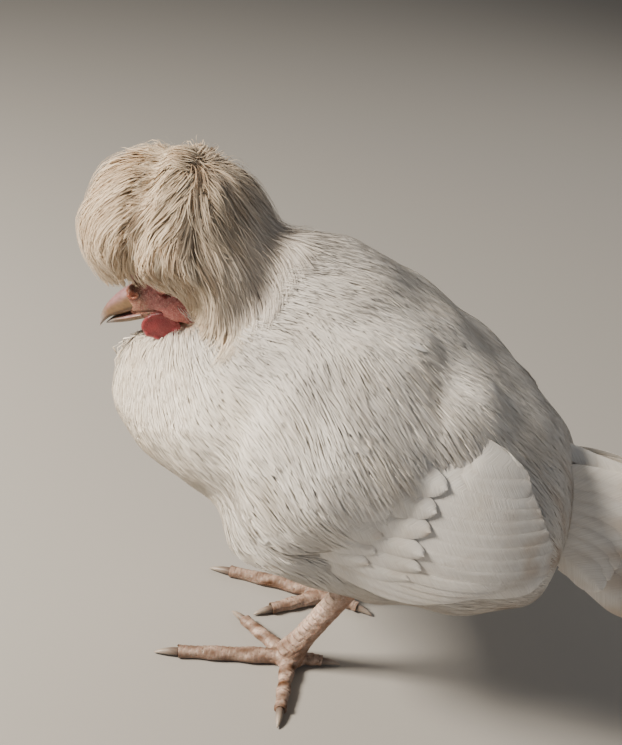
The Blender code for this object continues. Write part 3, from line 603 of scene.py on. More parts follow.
def noiseNode(tree, vector, scale, detail, **more):
    # clouded noise from 0 to 1
    inputs = {"Vector": vector, "Scale": scale, "Detail": detail, **more}
    return addNode(tree, "ShaderNodeTexNoise", inputs).outputs[0]


def bumpShader(tree, shader, height, strength, distance=0.0005):
    # tilts the shader's normal by the slope of a height
    bump = addNode(tree, "ShaderNodeBump", {"Height": height, "Strength": strength, "Distance": distance})
    tree.links.new(bump.outputs[0], shader.inputs["Normal"])


def sumNode(tree, operation, a, b=0.0, c=0.0):
    # one sum of up to three numbers
    return addNode(tree, "ShaderNodeMath", {0: a, 1: b, 2: c}, operation=operation).outputs[0]


def rangeNode(tree, value, low, high, toLow, toHigh):
    # a value moved from one range to another, and kept within it
    return addNode(tree, "ShaderNodeMapRange", {0: value, 1: low, 2: high, 3: toLow, 4: toHigh}).outputs[0]


def mixNode(tree, share, a, b):
    # a mix of two colours, each a socket or three numbers
    inputs = {"Factor": share, 6: a if isinstance(a, bpy.types.NodeSocket) else (*a, 1),
              7: b if isinstance(b, bpy.types.NodeSocket) else (*b, 1)}
    return addNode(tree, "ShaderNodeMix", inputs, data_type="RGBA").outputs[2]


def featherMaterial(name, look):
    # colour from the piece's own attribute, streaked along or across the vane by the piece's own vane map
    material, tree, shader = newMaterial(name)
    coat = readAttribute(tree, "coat")
    along = readAttribute(tree, "along", "Fac")
    seed = readAttribute(tree, "seed", "Fac")
    vane = addNode(tree, "ShaderNodeUVMap", uv_map="vane").outputs[0]
    parts = addNode(tree, "ShaderNodeSeparateXYZ", {0: vane})
    u, v = parts.outputs[0], parts.outputs[1]
    barb = sumNode(tree, "MULTIPLY_ADD", sumNode(tree, "ABSOLUTE", u), -look["slant"], v)
    if look["webbed"]:
        lines, stretch = barb, sumNode(tree, "MULTIPLY", u, 90.0)
    else:
        lines, stretch = u, sumNode(tree, "MULTIPLY", v, 60.0)
    fine = sumNode(tree, "MULTIPLY", lines, 1 / look["barbWidth"])
    spot = addNode(tree, "ShaderNodeCombineXYZ",
                   {0: fine, 1: stretch, 2: sumNode(tree, "MULTIPLY", seed, 40.0)})
    barbs = noiseNode(tree, spot.outputs[0], 1.0, 2.0)
    place = objectPlace(tree)
    patches = noiseNode(tree, place, look["patches"], 4.0)
    shade = rangeNode(tree, barbs, 0.30, 0.70, look["streak"], 1.02)
    # painted shade: each feather darkens towards its root, where the feathers over it would shade it
    depth = rangeNode(tree, along, 0.0, 0.6, look["rootShade"], 1.0)
    cloud = rangeNode(tree, patches, 0.3, 0.7, look["cloud"], 1.02)
    strength = sumNode(tree, "MULTIPLY", sumNode(tree, "MULTIPLY", shade, depth), cloud)
    darkened = sumNode(tree, "SUBTRACT", 1.0, strength)
    colour = mixNode(tree, sumNode(tree, "MAXIMUM", darkened, 0.0), coat, look["deep"])
    bumpShader(tree, shader, barbs, look["bump"])
    feed(tree, shader, {
        "Base Color": colour, "Roughness": look["roughness"], "Specular IOR Level": 0.25,
        "Sheen Weight": look["sheen"], "Sheen Roughness": 0.45, "Subsurface Weight": look["through"],
        "Subsurface Radius": (0.9, 0.75, 0.6), "Subsurface Scale": 0.0020})
    return material


# deep: the colour that barb lines, random patches and the painted shade at each feather's root darken towards
softDown = {"webbed": False, "slant": 0.8, "barbWidth": 0.00060, "patches": 70.0, "streak": 0.84,
            "rootShade": 0.93, "cloud": 0.88, "deep": (0.40, 0.33, 0.26), "bump": 0.30, "roughness": 0.75,
            "sheen": 0.1, "through": 0.2}
plumageFinish = featherMaterial("softPlumage", softDown)
# crest strands: darker streaks, and dark brown roots as painted shade deep between the tufts
crestFinish = featherMaterial("crestStrands", {
    **softDown, "streak": 0.70, "rootShade": 0.50, "deep": (0.26, 0.15, 0.06), "barbWidth": 0.00045,
    "roughness": 0.60
})
vaneFinish = featherMaterial("webbedVanes", {
    **softDown, "webbed": True, "barbWidth": 0.00050, "streak": 0.76, "rootShade": 0.85, "bump": 0.35,
    "roughness": 0.65
})


def skinMaterial(name, look):
    # flesh: two colours clouded together over the piece's own tint, with fine papillae, folds and wetness
    material, tree, shader = newMaterial(name)
    tint = readAttribute(tree, "tint")
    place = objectPlace(tree)
    clouds = noiseNode(tree, place, look["clouds"], 6.0, Roughness=0.65)
    pores = addNode(tree, "ShaderNodeTexVoronoi",
                    {"Vector": place, "Scale": look["pores"]}).outputs["Distance"]
    folds = noiseNode(tree, place, look["pores"] * 0.35, 5.0, Distortion=0.8)
    colour = mixNode(tree, rangeNode(tree, clouds, 0.32, 0.68, 0.0, 1.0), look["low"], look["high"])
    colour = mixNode(tree, rangeNode(tree, pores, 0.05, 0.45, look["papillae"], 0.0), colour, look["top"])
    tinted = addNode(tree, "ShaderNodeMix", {"Factor": 1.0, 6: colour, 7: tint}, data_type="RGBA",
                     blend_type="MULTIPLY")
    height = sumNode(tree, "MULTIPLY_ADD", pores, -0.6, folds)
    bumpShader(tree, shader, height, look["bump"])
    wet = rangeNode(tree, clouds, 0.3, 0.7, look["roughness"] - 0.08, look["roughness"] + 0.08)
    feed(tree, shader, {
        "Base Color": tinted.outputs[2], "Roughness": wet, "Subsurface Weight": look["through"],
        "Subsurface Radius": (1.0, 0.35, 0.25), "Subsurface Scale": 0.0012})
    return material


faceFinish = skinMaterial("faceSkin", {
    "low": (0.27, 0.055, 0.055), "high": (0.44, 0.14, 0.125), "top": (0.70, 0.42, 0.37), "clouds": 260.0,
    "pores": 1300.0, "papillae": 0.60, "bump": 0.35, "roughness": 0.50, "through": 0.2
})
wattleFinish = skinMaterial("wattleSkin", {
    "low": (0.15, 0.012, 0.018), "high": (0.26, 0.030, 0.036), "top": (0.38, 0.10, 0.10), "clouds": 180.0,
    "pores": 1700.0, "papillae": 0.25, "bump": 0.5, "roughness": 0.40, "through": 0.25
})
combFinish = skinMaterial("combSkin", {
    "low": (0.34, 0.12, 0.13), "high": (0.50, 0.25, 0.26), "top": (0.64, 0.44, 0.44), "clouds": 300.0,
    "pores": 1600.0, "papillae": 0.4, "bump": 0.6, "roughness": 0.5, "through": 0.2
})


def scaleMaterial():
    # legs: the scutes' own tint, dusty patches, and small round scales where the attribute says so
    material, tree, shader = newMaterial("legScales")
    tint = readAttribute(tree, "tint")
    small = readAttribute(tree, "small", "Fac")
    place = objectPlace(tree)
    dust = noiseNode(tree, place, 420.0, 6.0, Roughness=0.7)
    edges = addNode(tree, "ShaderNodeTexVoronoi", {"Vector": place, "Scale": 720.0},
                    feature="DISTANCE_TO_EDGE").outputs["Distance"]
    line = sumNode(tree, "MULTIPLY", rangeNode(tree, edges, 0.0, 0.10, 1.0, 0.0), small)
    colour = mixNode(tree, rangeNode(tree, dust, 0.42, 0.66, 0.0, 0.70), tint, (0.13, 0.07, 0.04))
    colour = mixNode(tree, sumNode(tree, "MULTIPLY", line, 0.55), colour, (0.40, 0.20, 0.11))
    height = sumNode(tree, "MULTIPLY_ADD", line, -0.7, sumNode(tree, "MULTIPLY", dust, 0.5))
    bumpShader(tree, shader, height, 0.7)
    feed(tree, shader, {"Base Color": colour, "Roughness": rangeNode(tree, dust, 0.3, 0.7, 0.42, 0.68),
                        "Subsurface Weight": 0.12, "Subsurface Scale": 0.0010})
    return material


def hornMaterial(name, streaks, roughness):
    # horn: the piece's own tint, drawn out into fine lines along X, a little worn
    material, tree, shader = newMaterial(name)
    tint = readAttribute(tree, "tint")
    place = objectPlace(tree)
    drawn = addNode(tree, "ShaderNodeVectorMath", {0: place, 1: (0.22, 1.0, 1.0)},
                    operation="MULTIPLY").outputs[0]
    lines = noiseNode(tree, drawn, streaks, 4.0)
    wear = noiseNode(tree, place, 350.0, 6.0)
    worn = sumNode(tree, "MULTIPLY", rangeNode(tree, lines, 0.3, 0.7, 0.82, 1.08),
                   rangeNode(tree, wear, 0.35, 0.7, 0.90, 1.06))
    shade = addNode(tree, "ShaderNodeVectorMath", {0: tint, "Scale": worn}, operation="SCALE")
    bumpShader(tree, shader, sumNode(tree, "ADD", lines, wear), 0.25, 0.0004)
    rough = rangeNode(tree, wear, 0.3, 0.7, roughness - 0.1, roughness + 0.1)
    feed(tree, shader, {"Base Color": shade.outputs[0], "Roughness": rough, "Subsurface Weight": 0.10,
                        "Subsurface Scale": 0.0010})
    return material


def eyeMaterial():
    # a wet ball: the iris's tint, flecked
    material, tree, shader = newMaterial("wetEye")
    tint = readAttribute(tree, "tint")
    place = objectPlace(tree)
    flecks = noiseNode(tree, place, 2600.0, 3.0)
    flecked = rangeNode(tree, flecks, 0.3, 0.7, 0.7, 1.2)
    shade = addNode(tree, "ShaderNodeVectorMath", {0: tint, "Scale": flecked}, operation="SCALE")
    feed(tree, shader, {"Base Color": shade.outputs[0], "Roughness": 0.12, "Coat Weight": 1.0,
                        "Coat Roughness": 0.03})
    return material


legFinish = scaleMaterial()
billFinish = hornMaterial("billHorn", 900.0, 0.38)
clawFinish = hornMaterial("clawHorn", 1200.0, 0.42)
eyeFinish = eyeMaterial()


# One skin for the body, the head and the legs

skin = {"voxel": 0.0026, "legTop": 0.074, "shankPitch": 0.0044, "toePitch": 0.0031, "scuteHeight": 0.00042}
skinTones = {  # the last four tint the flesh of the face
    "scute": (0.60, 0.45, 0.37), "sole": (0.26, 0.085, 0.022), "dirt": (0.15, 0.085, 0.055),
    "groove": (0.06, 0.025, 0.012), "brow": (0.62, 0.42, 0.42), "cere": (0.62, 0.88, 0.66),
    "nostril": (0.95, 1.00, 0.62), "nostrilRim": (0.20, 0.12, 0.10),
}


def skinLofts():
    # rough closed tubes: body, skull, thighs and each limb
    lofts = []
    angle = np.linspace(0, 2 * math.pi, 48, endpoint=False)
    rows = bodyCurve[3:-3:2]
    middle, rise = (rows[:, 1] + rows[:, 2]) / 2, (rows[:, 1] - rows[:, 2]) / 2 - body["coatDepth"]
    up, across = np.cos(angle)[None], np.sin(angle)[None]
    wide = (rows[:, 3] - body["coatDepth"])[:, None] * narrowed(rows[:, :1], up)
    lofts.append(np.stack([rows[:, :1] + 0 * wide, across * wide, middle[:, None] + rise[:, None] * up], -1))
    rows = headCurve[2:-3]
    top, under = rows[:, 1:2], rows[:, 2:3]
    lofts.append(fromHead(rows[:, :1], rows[:, 3:] * across, (top + under) / 2 + (top - under) / 2 * up))
    angle = angle[::2, None]
    for side in (-1, 1):
        a, b = (np.array(thigh[key]) * (1, side, 1) for key in ("top", "hock"))
        radius = np.linspace(thigh["topRadius"], thigh["hockRadius"], 16) - body["coatDepth"]
        lofts.append((a, b, np.array((0, 1.0, 0)), radius, radius))
    for limb in limbs:
        line = limb[1] + (limb[2] - limb[1]) * np.linspace(0, 1, 24)[:, None]
        wide, high = limbSpot(line, limb)[4:]
        lofts.append((limb[1], limb[2], limb[3], wide, high))
    made = []
    for loft in lofts:
        if isinstance(loft, tuple):
            a, b, upward, wide, high = loft
            axis = unit(b - a)
            beside = unit(np.cross(axis, upward))
            upward = np.cross(beside, axis)
            line = a + (b - a) * np.linspace(0, 1, len(wide))[:, None]
            sideways = np.sin(angle) * beside * wide[:, None, None]
            loft = line[:, None] + sideways + np.cos(angle) * upward * high[:, None, None]
        made.append(loft)
    return made


def scuteRelief(points):
    # height of the scutes over a limb, which of them fade at its sides, and how deep in a groove a point lies
    best, relief, front, groove, back = np.full(len(points), 1.0), *(np.zeros(len(points)) for _ in range(4))
    for limb in limbs:
        far = limbDistance(points, limb)
        t, across, rise, _, wide, high = limbSpot(points, limb)
        length = np.linalg.norm(limb[2] - limb[1])
        turn = np.arctan2(across / wide, rise / high)
        shank = limb[0] == "shank"
        pitch = skin["shankPitch"] if shank else skin["toePitch"]
        row = t * length / pitch + (0.18 * np.cos(turn * 2) if shank else 0.12 * np.cos(turn))
        phase = row % 1 if shank else 1 - row % 1
        face = easeStep(1.45, 1.05, np.abs(turn))
        step = easeStep(0, 0.14, phase) * (1 - 0.75 * phase)
        near = far < best
        best = np.where(near, far, best)
        relief = np.where(near, step * face, relief)
        front = np.where(near, face, front)
        groove = np.where(near, (1 - easeStep(0.0, 0.20, phase)) * face, groove)
        back = np.where(near, easeStep(1.2, 2.4, np.abs(turn)) * shank, back)
    on = easeStep(0.0015, 0.0, best)
    return relief * on, front, groove * on, back


def skinTints(points, q, groove, back):
    # colour of the legs, dirty and darker in the grooves, and what tints the flesh of the face
    shades = {key: np.array(value) for key, value in skinTones.items()}
    tint = moved(shades["scute"], shades["sole"], 0.90 * back * (0.6 + 0.4 * ripple(points, 0.006, 41)))
    dirty = easeStep(0.040, 0.006, points[:, 2])
    tint = moved(tint, shades["dirt"], 0.90 * dirty * (0.7 + 0.5 * ripple(points, 0.008, 42)))
    tint = moved(tint, shades["groove"], 0.85 * groove)
    deep = easeStep(0.004, 0.012, q[:, 2]) * easeStep(0.038, 0.046, q[:, 0])
    flesh = moved(np.ones(3), shades["brow"], deep)
    cere = easeStep(0.036, 0.029, q[:, 0])
    flesh = moved(flesh, shades["cere"], cere)
    hole = ballDistance(mirrorY(q), (0.0258, 0.0090, 0.0094), np.array((0.0040, 0.0040, 0.0021)))
    flesh = moved(flesh, shades["nostril"], easeStep(0.0, -0.0008, hole))
    flesh = moved(flesh, shades["nostrilRim"], np.exp(-((hole / 0.00042) ** 2)))
    return tint, flesh


def makeSkin():
    # rough tubes, fused by a voxel remesh and refined at head and feet, then settled on the true skin
    points, faces, used = [], [], 0
    for rings in skinLofts():
        shell, part = closedTube(rings)
        points.append(shell)
        faces.append(part + used)
        used += len(shell)
    rough = bpy.data.meshes.new("rough")
    rough.from_pydata(np.concatenate(points).tolist(), [], np.concatenate(faces).tolist())
    obj = bpy.data.objects.new("rough", rough)
    bpy.context.scene.collection.objects.link(obj)
    modifier = obj.modifiers.new("fuse", "REMESH")
    modifier.mode = "VOXEL"
    modifier.voxel_size = skin["voxel"]
    fused = bpy.data.meshes.new_from_object(obj.evaluated_get(bpy.context.evaluated_depsgraph_get()))
    bpy.data.objects.remove(obj)
    form = bmesh.new()
    form.from_mesh(fused)
    for level in range(3):
        places = np.array([v.co for v in form.verts])
        q = toHead(places)
        onFace = (q[:, 0] > 0.019) & (q[:, 0] < 0.070 - 0.003 * level) & (q[:, 2] < 0.022 - 0.002 * level)
        onFace = onFace & (skullDistance(places) < 0.004)
        onLeg = (places[:, 2] < skin["legTop"] - 0.006) & (legsDistance(places) < 0.003) & (level < 2)
        fine = onFace | onLeg
        form.verts.index_update()
        edges = [e for e in form.edges if fine[e.verts[0].index] and fine[e.verts[1].index]]
        bmesh.ops.subdivide_edges(form, edges=edges, cuts=1, use_grid_fill=True)
    bmesh.ops.triangulate(form, faces=form.faces)
    form.to_mesh(fused)
    form.free()
    points = np.empty(len(fused.vertices) * 3, np.float32)
    fused.vertices.foreach_get("co", points)
    points = settled(skinDistance, points.reshape(-1, 3).astype(float), 0.0, 4)
    faces = np.empty(len(fused.polygons) * 3, np.int32)
    fused.polygons.foreach_get("vertices", faces)
    faces = faces.reshape(-1, 3)
    bpy.data.meshes.remove(fused)
    q = toHead(points)
    normal = unit(slopeOf(skinDistance, points)[1])
    wrinkled = easeStep(0.074, 0.066, q[:, 0]) * easeStep(0.022, 0.028, q[:, 0])
    relief, front, groove, back = scuteRelief(points)
    low = points[:, 2] < skin["legTop"]
    rise = 0.00015 * ripple(points, 0.0024, 31) * wrinkled + np.where(low, relief * skin["scuteHeight"], 0)
    points = points + normal * rise[:, None]
    points[:, 2] = np.maximum(points[:, 2], 0)
    onLeg = low & (legsDistance(points) < 0.0012)
    onFace = (skullDistance(points) < 0.0012) & (q[:, 0] < 0.072)
    tint, flesh = skinTints(points, q, groove, back)
    tint = np.where(onLeg[:, None], tint, np.where(onFace[:, None], flesh, tone("white")))
    which = np.where(onLeg, 1, np.where(onFace, 0, 2))[faces].max(1)
    replaced = [f"{part}_{side}" for part in ("thigh", "shank", "foot") for side in ("left", "right")]
    meshPiece("birdSkin", points, faces, [faceFinish, legFinish, plainFinish],
              ["torso", "neck", "head"] + replaced, values={"small": 1 - front}, colours={"tint": tint},
              which=which)
    print("skin triangles", len(faces))


plainFinish = skinMaterial("coveredSkin", {
    "low": (0.78, 0.66, 0.56), "high": (0.86, 0.76, 0.66), "top": (0.90, 0.84, 0.76), "clouds": 120.0,
    "pores": 500.0, "papillae": 0.3, "bump": 0.3, "roughness": 0.7, "through": 0.1
})
makeSkin()
print("skin made")


# Eyes

def makeEyes():
    # a ball with a pupil, a ringed iris and a dark rim, each a share of the angle out from the middle
    for side, word in ((-1, "left"), (1, "right")):
        along, out, up = head["eye"]
        way = ballGrid(64, 46)[..., [1, 0, 2]] * (1, -side, 1)
        rings = fromHead(along + way[..., 0] * head["eyeRadius"],
                         side * out + way[..., 1] * head["eyeRadius"], up + way[..., 2] * head["eyeRadius"])
        ends = [fromHead(along, side * out + turn * side * head["eyeRadius"], up) for turn in (-1, 1)]
        points, faces = closedTube(rings, ends)
        sideways = (points - fromHead(along, side * out, up))[:, 1] * side / head["eyeRadius"]
        angle = np.degrees(np.arccos(np.clip(sideways, -1, 1)))
        iris = moved(np.array((0.34, 0.12, 0.03)), np.array((0.55, 0.24, 0.07)),
                     np.interp(angle, (16, 26, 36), (0, 1, 0.3)))
        tint = moved(np.array((0.008, 0.006, 0.006)), iris, easeStep(15, 18, angle))
        tint = moved(tint, np.array((0.03, 0.02, 0.02)), easeStep(36, 40, angle))
        meshPiece(f"eyeball_{word}", points, faces, eyeFinish, (f"eye_{word}",),
                  colours={"tint": tint})


makeEyes()


# Bill

bill = {
    "upper": np.array([(0.0000, -0.0022, -0.0030, 0.0004), (0.0030, 0.0024, -0.0014, 0.0018),
                       (0.0080, 0.0064, 0.0003, 0.0036), (0.0150, 0.0100, 0.0004, 0.0052),
                       (0.0222, 0.0122, 0.0005, 0.0062), (0.0250, 0.0126, 0.0006, 0.0062)]),
    "lower": np.array([(0.0042, -0.0018, -0.0026, 0.0011), (0.0090, -0.0001, -0.0034, 0.0030),
                       (0.0150, 0.0001, -0.0042, 0.0044), (0.0222, 0.0002, -0.0045, 0.0056),
                       (0.0250, 0.0002, -0.0046, 0.0058)]),
    "rings": 70, "around": 48, "ridge": 0.0003,
    "tip": (0.24, 0.21, 0.20), "horn": (0.13, 0.075, 0.036), "culmen": (0.27, 0.14, 0.15),
    "root": (0.24, 0.10, 0.08),
    "edge": (0.05, 0.03, 0.018),
}


def makeBill():
    # rings along the head's axis: a roof-like culmen above, a sharp cutting edge along the mouth
    # along, then round: |y| = half width * |sin|^0.9, z from the middle by |cos|^1.15 of the height there
    angle = np.linspace(0, 2 * math.pi, bill["around"], endpoint=False)[None]
    shades = {key: np.array(bill[key]) for key in ("tip", "horn", "culmen", "root", "edge")}
    for word in ("upper", "lower"):
        along, top, under, half = (column[:, None] for column in throughRows(bill[word], bill["rings"]).T)
        up, across = np.cos(angle), np.sin(angle)
        edge = 0.85 if word == "upper" else -0.80
        level = np.sign(up) * np.abs(up) ** 1.15
        middle = under + (top - under) * (0.5 - 0.22 * edge)
        rise = np.where(level > 0, top - middle, middle - under)
        narrower = 1 - 0.16 * np.maximum(level * np.sign(edge), 0)
        width = half * np.sign(across) * np.abs(across) ** 0.9 * narrower
        fromTop = angle - math.pi + math.pi * np.sign(angle - math.pi)
        ridge = bill["ridge"] * np.exp(-((fromTop / 0.25) ** 2)) * (word == "upper")
        rings = fromHead(along, width, middle + rise * level + ridge * (along > 0.002))
        tip = fromHead(along[0, 0] - 0.0003, 0, (top + under)[0, 0] / 2)
        points, faces = closedTube(rings, [tip, rings[-1].mean(0)])
        q = toHead(points)
        share = np.interp(q[:, 0], along[:, 0], np.linspace(0, 1, bill["rings"]))
        tall = np.maximum(np.interp(q[:, 0], along[:, 0], (top - under)[:, 0]), 1e-4)
        height = (q[:, 2] - np.interp(q[:, 0], along[:, 0], under[:, 0])) / tall
        tint = moved(shades["tip"], shades["horn"], easeStep(0.10, 0.45, share))
        tint = moved(tint, shades["culmen"], 0.9 * easeStep(0.55, 0.90, height) * easeStep(0.25, 0.6, share))
        tint = moved(tint, shades["root"], 0.8 * easeStep(0.80, 1.0, share))
        tint = moved(tint, shades["edge"], 0.8 * easeStep(0.14, 0.0, height) * (word == "upper"))
        meshPiece(f"mandible_{word}", points, faces, billFinish, (f"bill_{word}",),
                  colours={"tint": tint})


makeBill()


# Comb and wattles

comb = {"at": (0.0275, 0.0, 0.0170), "radii": (0.0037, 0.0046, 0.0042), "pinch": 0.16, "pinchHalf": 0.30}
wattle = {"at": (0.0345, 0.0112, -0.0064), "radii": (0.0094, 0.0017, 0.0068), "folds": 9, "foldDepth": 0.035,
          "middleTint": (0.75, 0.65, 0.65), "rimTint": (1.6, 3.2, 3.0)}


def makeComb():
    # a small knob with two bumps: a ball pinched along its middle
    way = ballGrid(48, 34)
    pinch = 1 - comb["pinch"] * np.exp(-((way[..., 1] / comb["pinchHalf"]) ** 2)) * np.maximum(way[..., 2], 0)
    lump = pinch * (1 + 0.05 * ripple(way, 0.7, 51))
    at, radii = comb["at"], comb["radii"]
    rings = fromHead(at[0] + way[..., 0] * radii[0] * lump, way[..., 1] * radii[1] * lump,
                     at[2] + way[..., 2] * radii[2] * lump)
    points, faces = closedTube(rings)
    meshPiece("combKnob", points, faces, combFinish, ("comb",),
              colours={"tint": np.ones((len(points), 3))})


def makeWattles():
    # thin lobes: swollen and folded along the rim, hollowed a little in the middle
    at, radii, folds = wattle["at"], wattle["radii"], wattle["folds"]
    for side, word in ((-1, "left"), (1, "right")):
        way = ballGrid(64, 46)[..., [1, 0, 2]]
        flat = np.hypot(way[..., 0], way[..., 2])
        turn = np.arctan2(way[..., 2], way[..., 0])
        below = easeStep(0.3, -0.3, way[..., 2])
        rim = np.exp(-(((flat - 0.90) / 0.16) ** 2))
        reach = 1 + wattle["foldDepth"] * np.sin(folds * turn) * below
        thick = way[..., 1] * (radii[1] * (0.80 + 0.55 * rim)) + 0.0004 * np.cos(folds * turn) * rim * below
        out = side * (at[1] + thick + 0.0006 * way[..., 2])
        rings = fromHead(at[0] + way[..., 0] * radii[0] * reach, out, at[2] + way[..., 2] * radii[2] * reach)
        points, faces = closedTube(rings)
        q = (toHead(points) - (at[0], side * at[1], at[2])) / (radii[0], 1, radii[2])
        rimmed = easeStep(0.72, 0.95, np.hypot(q[:, 0], q[:, 2])) * easeStep(0.2, -0.5, q[:, 2])
        tint = moved(np.array(wattle["middleTint"]), np.array(wattle["rimTint"]), rimmed)
        meshPiece(f"lobe_{word}", points, faces, wattleFinish, (f"wattle_{word}",),
                  colours={"tint": np.clip(tint, 0, 3)})


makeComb()
makeWattles()
print("face made")


# Claws

nail = {"rings": 26, "around": 20, "sunk": 0.0012, "bend": 1.2, "root": (0.13, 0.09, 0.07),
        "tip": (0.34, 0.28, 0.23)}


def makeClaws():
    # each claw starts inside the end of its toe and curves down to a point at the floor
    for word, (side, pad, turns) in legs["feet"].items():
        for which, name in enumerate(legs["clawNames"]):
            turn = math.radians(turns[which])
            way = np.array((-math.cos(turn), side * math.sin(turn), 0.0))
            beside = np.array((-way[1], way[0], 0.0))
            high = legs["toeHeight"] * 0.72
            end = np.array((*pad, high / 2)) + way * (legs["toeLengths"][which] - nail["sunk"])
            share = np.linspace(0, 1, nail["rings"])
            out = (legs["claws"][which] + 0.0014) * np.sin(share * nail["bend"]) / math.sin(nail["bend"])
            drop = (end[2] - 0.0008) * share**2
            size = (1 - share**1.7 * 0.93)[:, None, None]
            angle = np.linspace(0, 2 * math.pi, nail["around"], endpoint=False)[None, :, None]
            lean = np.cos(share)[:, None] * np.array((0, 0, 1.0)) + np.sin(share)[:, None] * way
            half = legs["toeHalves"][which] * 0.50
            line = end + way * out[:, None] - np.array((0, 0, 1.0)) * drop[:, None]
            sideways = np.sin(angle) * beside * half * size
            rings = line[:, None] + sideways + np.cos(angle) * lean[:, None] * high * 0.42 * size
            rings[..., 2] = np.maximum(rings[..., 2], 0.00005)
            points, faces = closedTube(rings)
            far = np.linalg.norm(points - end, axis=1) / legs["claws"][which]
            tint = moved(np.array(nail["root"]), np.array(nail["tip"]), easeStep(0.1, 0.9, far))
            meshPiece(f"nail_{word}_{name}", points, faces, clawFinish, (f"claw_{word}_{name}",),
                      colours={"tint": tint})


makeClaws()
print("claws made")


# Wings

wing = {
    "middle": (0.012, 0.150), "halfLength": 0.050, "halfDepth": 0.036, "slope": math.radians(58),
    "bulge": 0.0048, "edge": 0.0012,
    "spread": 0.010, "spreadFrom": 0.03, "spreadOver": 0.08, "thick": 0.0004, "shaft": 0.00018, "columns": 9,
    "steps": 22,
    # x, z of where the loose feathers of the shoulder end over the wing
    "shoulderLine": np.array([(-0.030, 0.080), (-0.012, 0.088), (0.006, 0.104), (0.016, 0.132),
                              (0.038, 0.148), (0.053, 0.152), (0.064, 0.153), (0.078, 0.150)]),
    # x, z of the rear edge that the tips of the folded wing make
    "rearEdge": np.array([(0.100, 0.100), (0.1055, 0.109), (0.1050, 0.120), (0.097, 0.132), (0.087, 0.148),
                          (0.077, 0.156), (0.068, 0.161), (0.056, 0.183)]), "rearSoftness": 0.0020,
    # count; first and last root, middle and tip; half width; height at root and tip; shingle; camber; widest
    "rows": {
        "primaries": (5, ((-0.004, 0.107), (0.008, 0.121)), ((0.032, 0.091), (0.052, 0.106)),
                      ((0.066, 0.0925), (0.104, 0.112)), 0.0050, (-0.0010, 0.0002), 0.0011, 0.0004, 0.66),
        "secondaries": (12, ((0.012, 0.114), (0.036, 0.170)), ((0.062, 0.107), (0.064, 0.164)),
                        ((0.112, 0.108), (0.090, 0.154)), 0.0088, (-0.0020, 0.0010), 0.00030, 0.0003, 0.66),
        "tertials": (4, ((0.034, 0.168), (0.028, 0.176)), ((0.058, 0.163), (0.046, 0.173)),
                     ((0.086, 0.154), (0.068, 0.166)), 0.0084, (-0.0024, 0.0008), 0.00030, 0.0003, 0.60),
        "greaterCoverts": (8, ((-0.004, 0.111), (0.022, 0.172)), ((0.024, 0.104), (0.040, 0.167)),
                           ((0.052, 0.101), (0.058, 0.160)), 0.0078, (-0.0020, 0.0010), 0.0003, 0.0006, 0.42),
        "medianCoverts": (8, ((-0.014, 0.119), (0.010, 0.182)), ((0.006, 0.110), (0.024, 0.176)),
                          ((0.032, 0.105), (0.043, 0.169)), 0.0082, (-0.0014, 0.0014), 0.0003, 0.0006, 0.42),
        "smallCoverts": (7, ((-0.022, 0.124), (-0.002, 0.182)), ((-0.008, 0.116), (0.012, 0.176)),
                         ((0.014, 0.109), (0.028, 0.169)), 0.0086, (-0.0008, 0.0018), 0.0003, 0.0006, 0.42),
    },
}


def flank(x, z):
    # points at x, z on the left flank, which behind spreads off the rump to carry the wing
    top, under, half = (np.interp(x, bodyCurve[:, 0], bodyCurve[:, k]) for k in (1, 2, 3))
    middle, rise = (top + under) / 2, np.maximum(top - under, 0.002) / 2
    spread = wing["spread"] * np.clip((x - wing["spreadFrom"]) / wing["spreadOver"], 0, 1) ** 1.3
    up = np.clip((z - middle) / (rise + spread), -0.985, 0.985)
    y = (half + spread) * narrowed(x, up) * (1 - np.abs(up) ** body["fullness"]) ** (1 / body["fullness"])
    return np.stack([x, -y, z], -1)


def onFlank(x, z, lift):
    # points lifted straight off the flank
    step = 1e-4
    foot = flank(x, z)
    normal = unit(np.cross(flank(x + step, z) - foot, flank(x, z + step) - foot))
    return foot + normal * -np.sign(normal[..., 1:2]) * lift[..., None]


def armShare(x, z):
    # 0 in the middle of the folded arm, 1 at its edge, seen from the side
    dx, dz = x - wing["middle"][0], z - wing["middle"][1]
    c, s = math.cos(wing["slope"]), math.sin(wing["slope"])
    return np.hypot((dx * c + dz * s) / wing["halfLength"], (-dx * s + dz * c) / wing["halfDepth"])


def armHeight(x, z):
    # height of the folded arm over the flank: edge + bulge * (1 - share^2)
    return wing["edge"] + wing["bulge"] * np.clip(1 - armShare(x, z) ** 2, 0, 1)


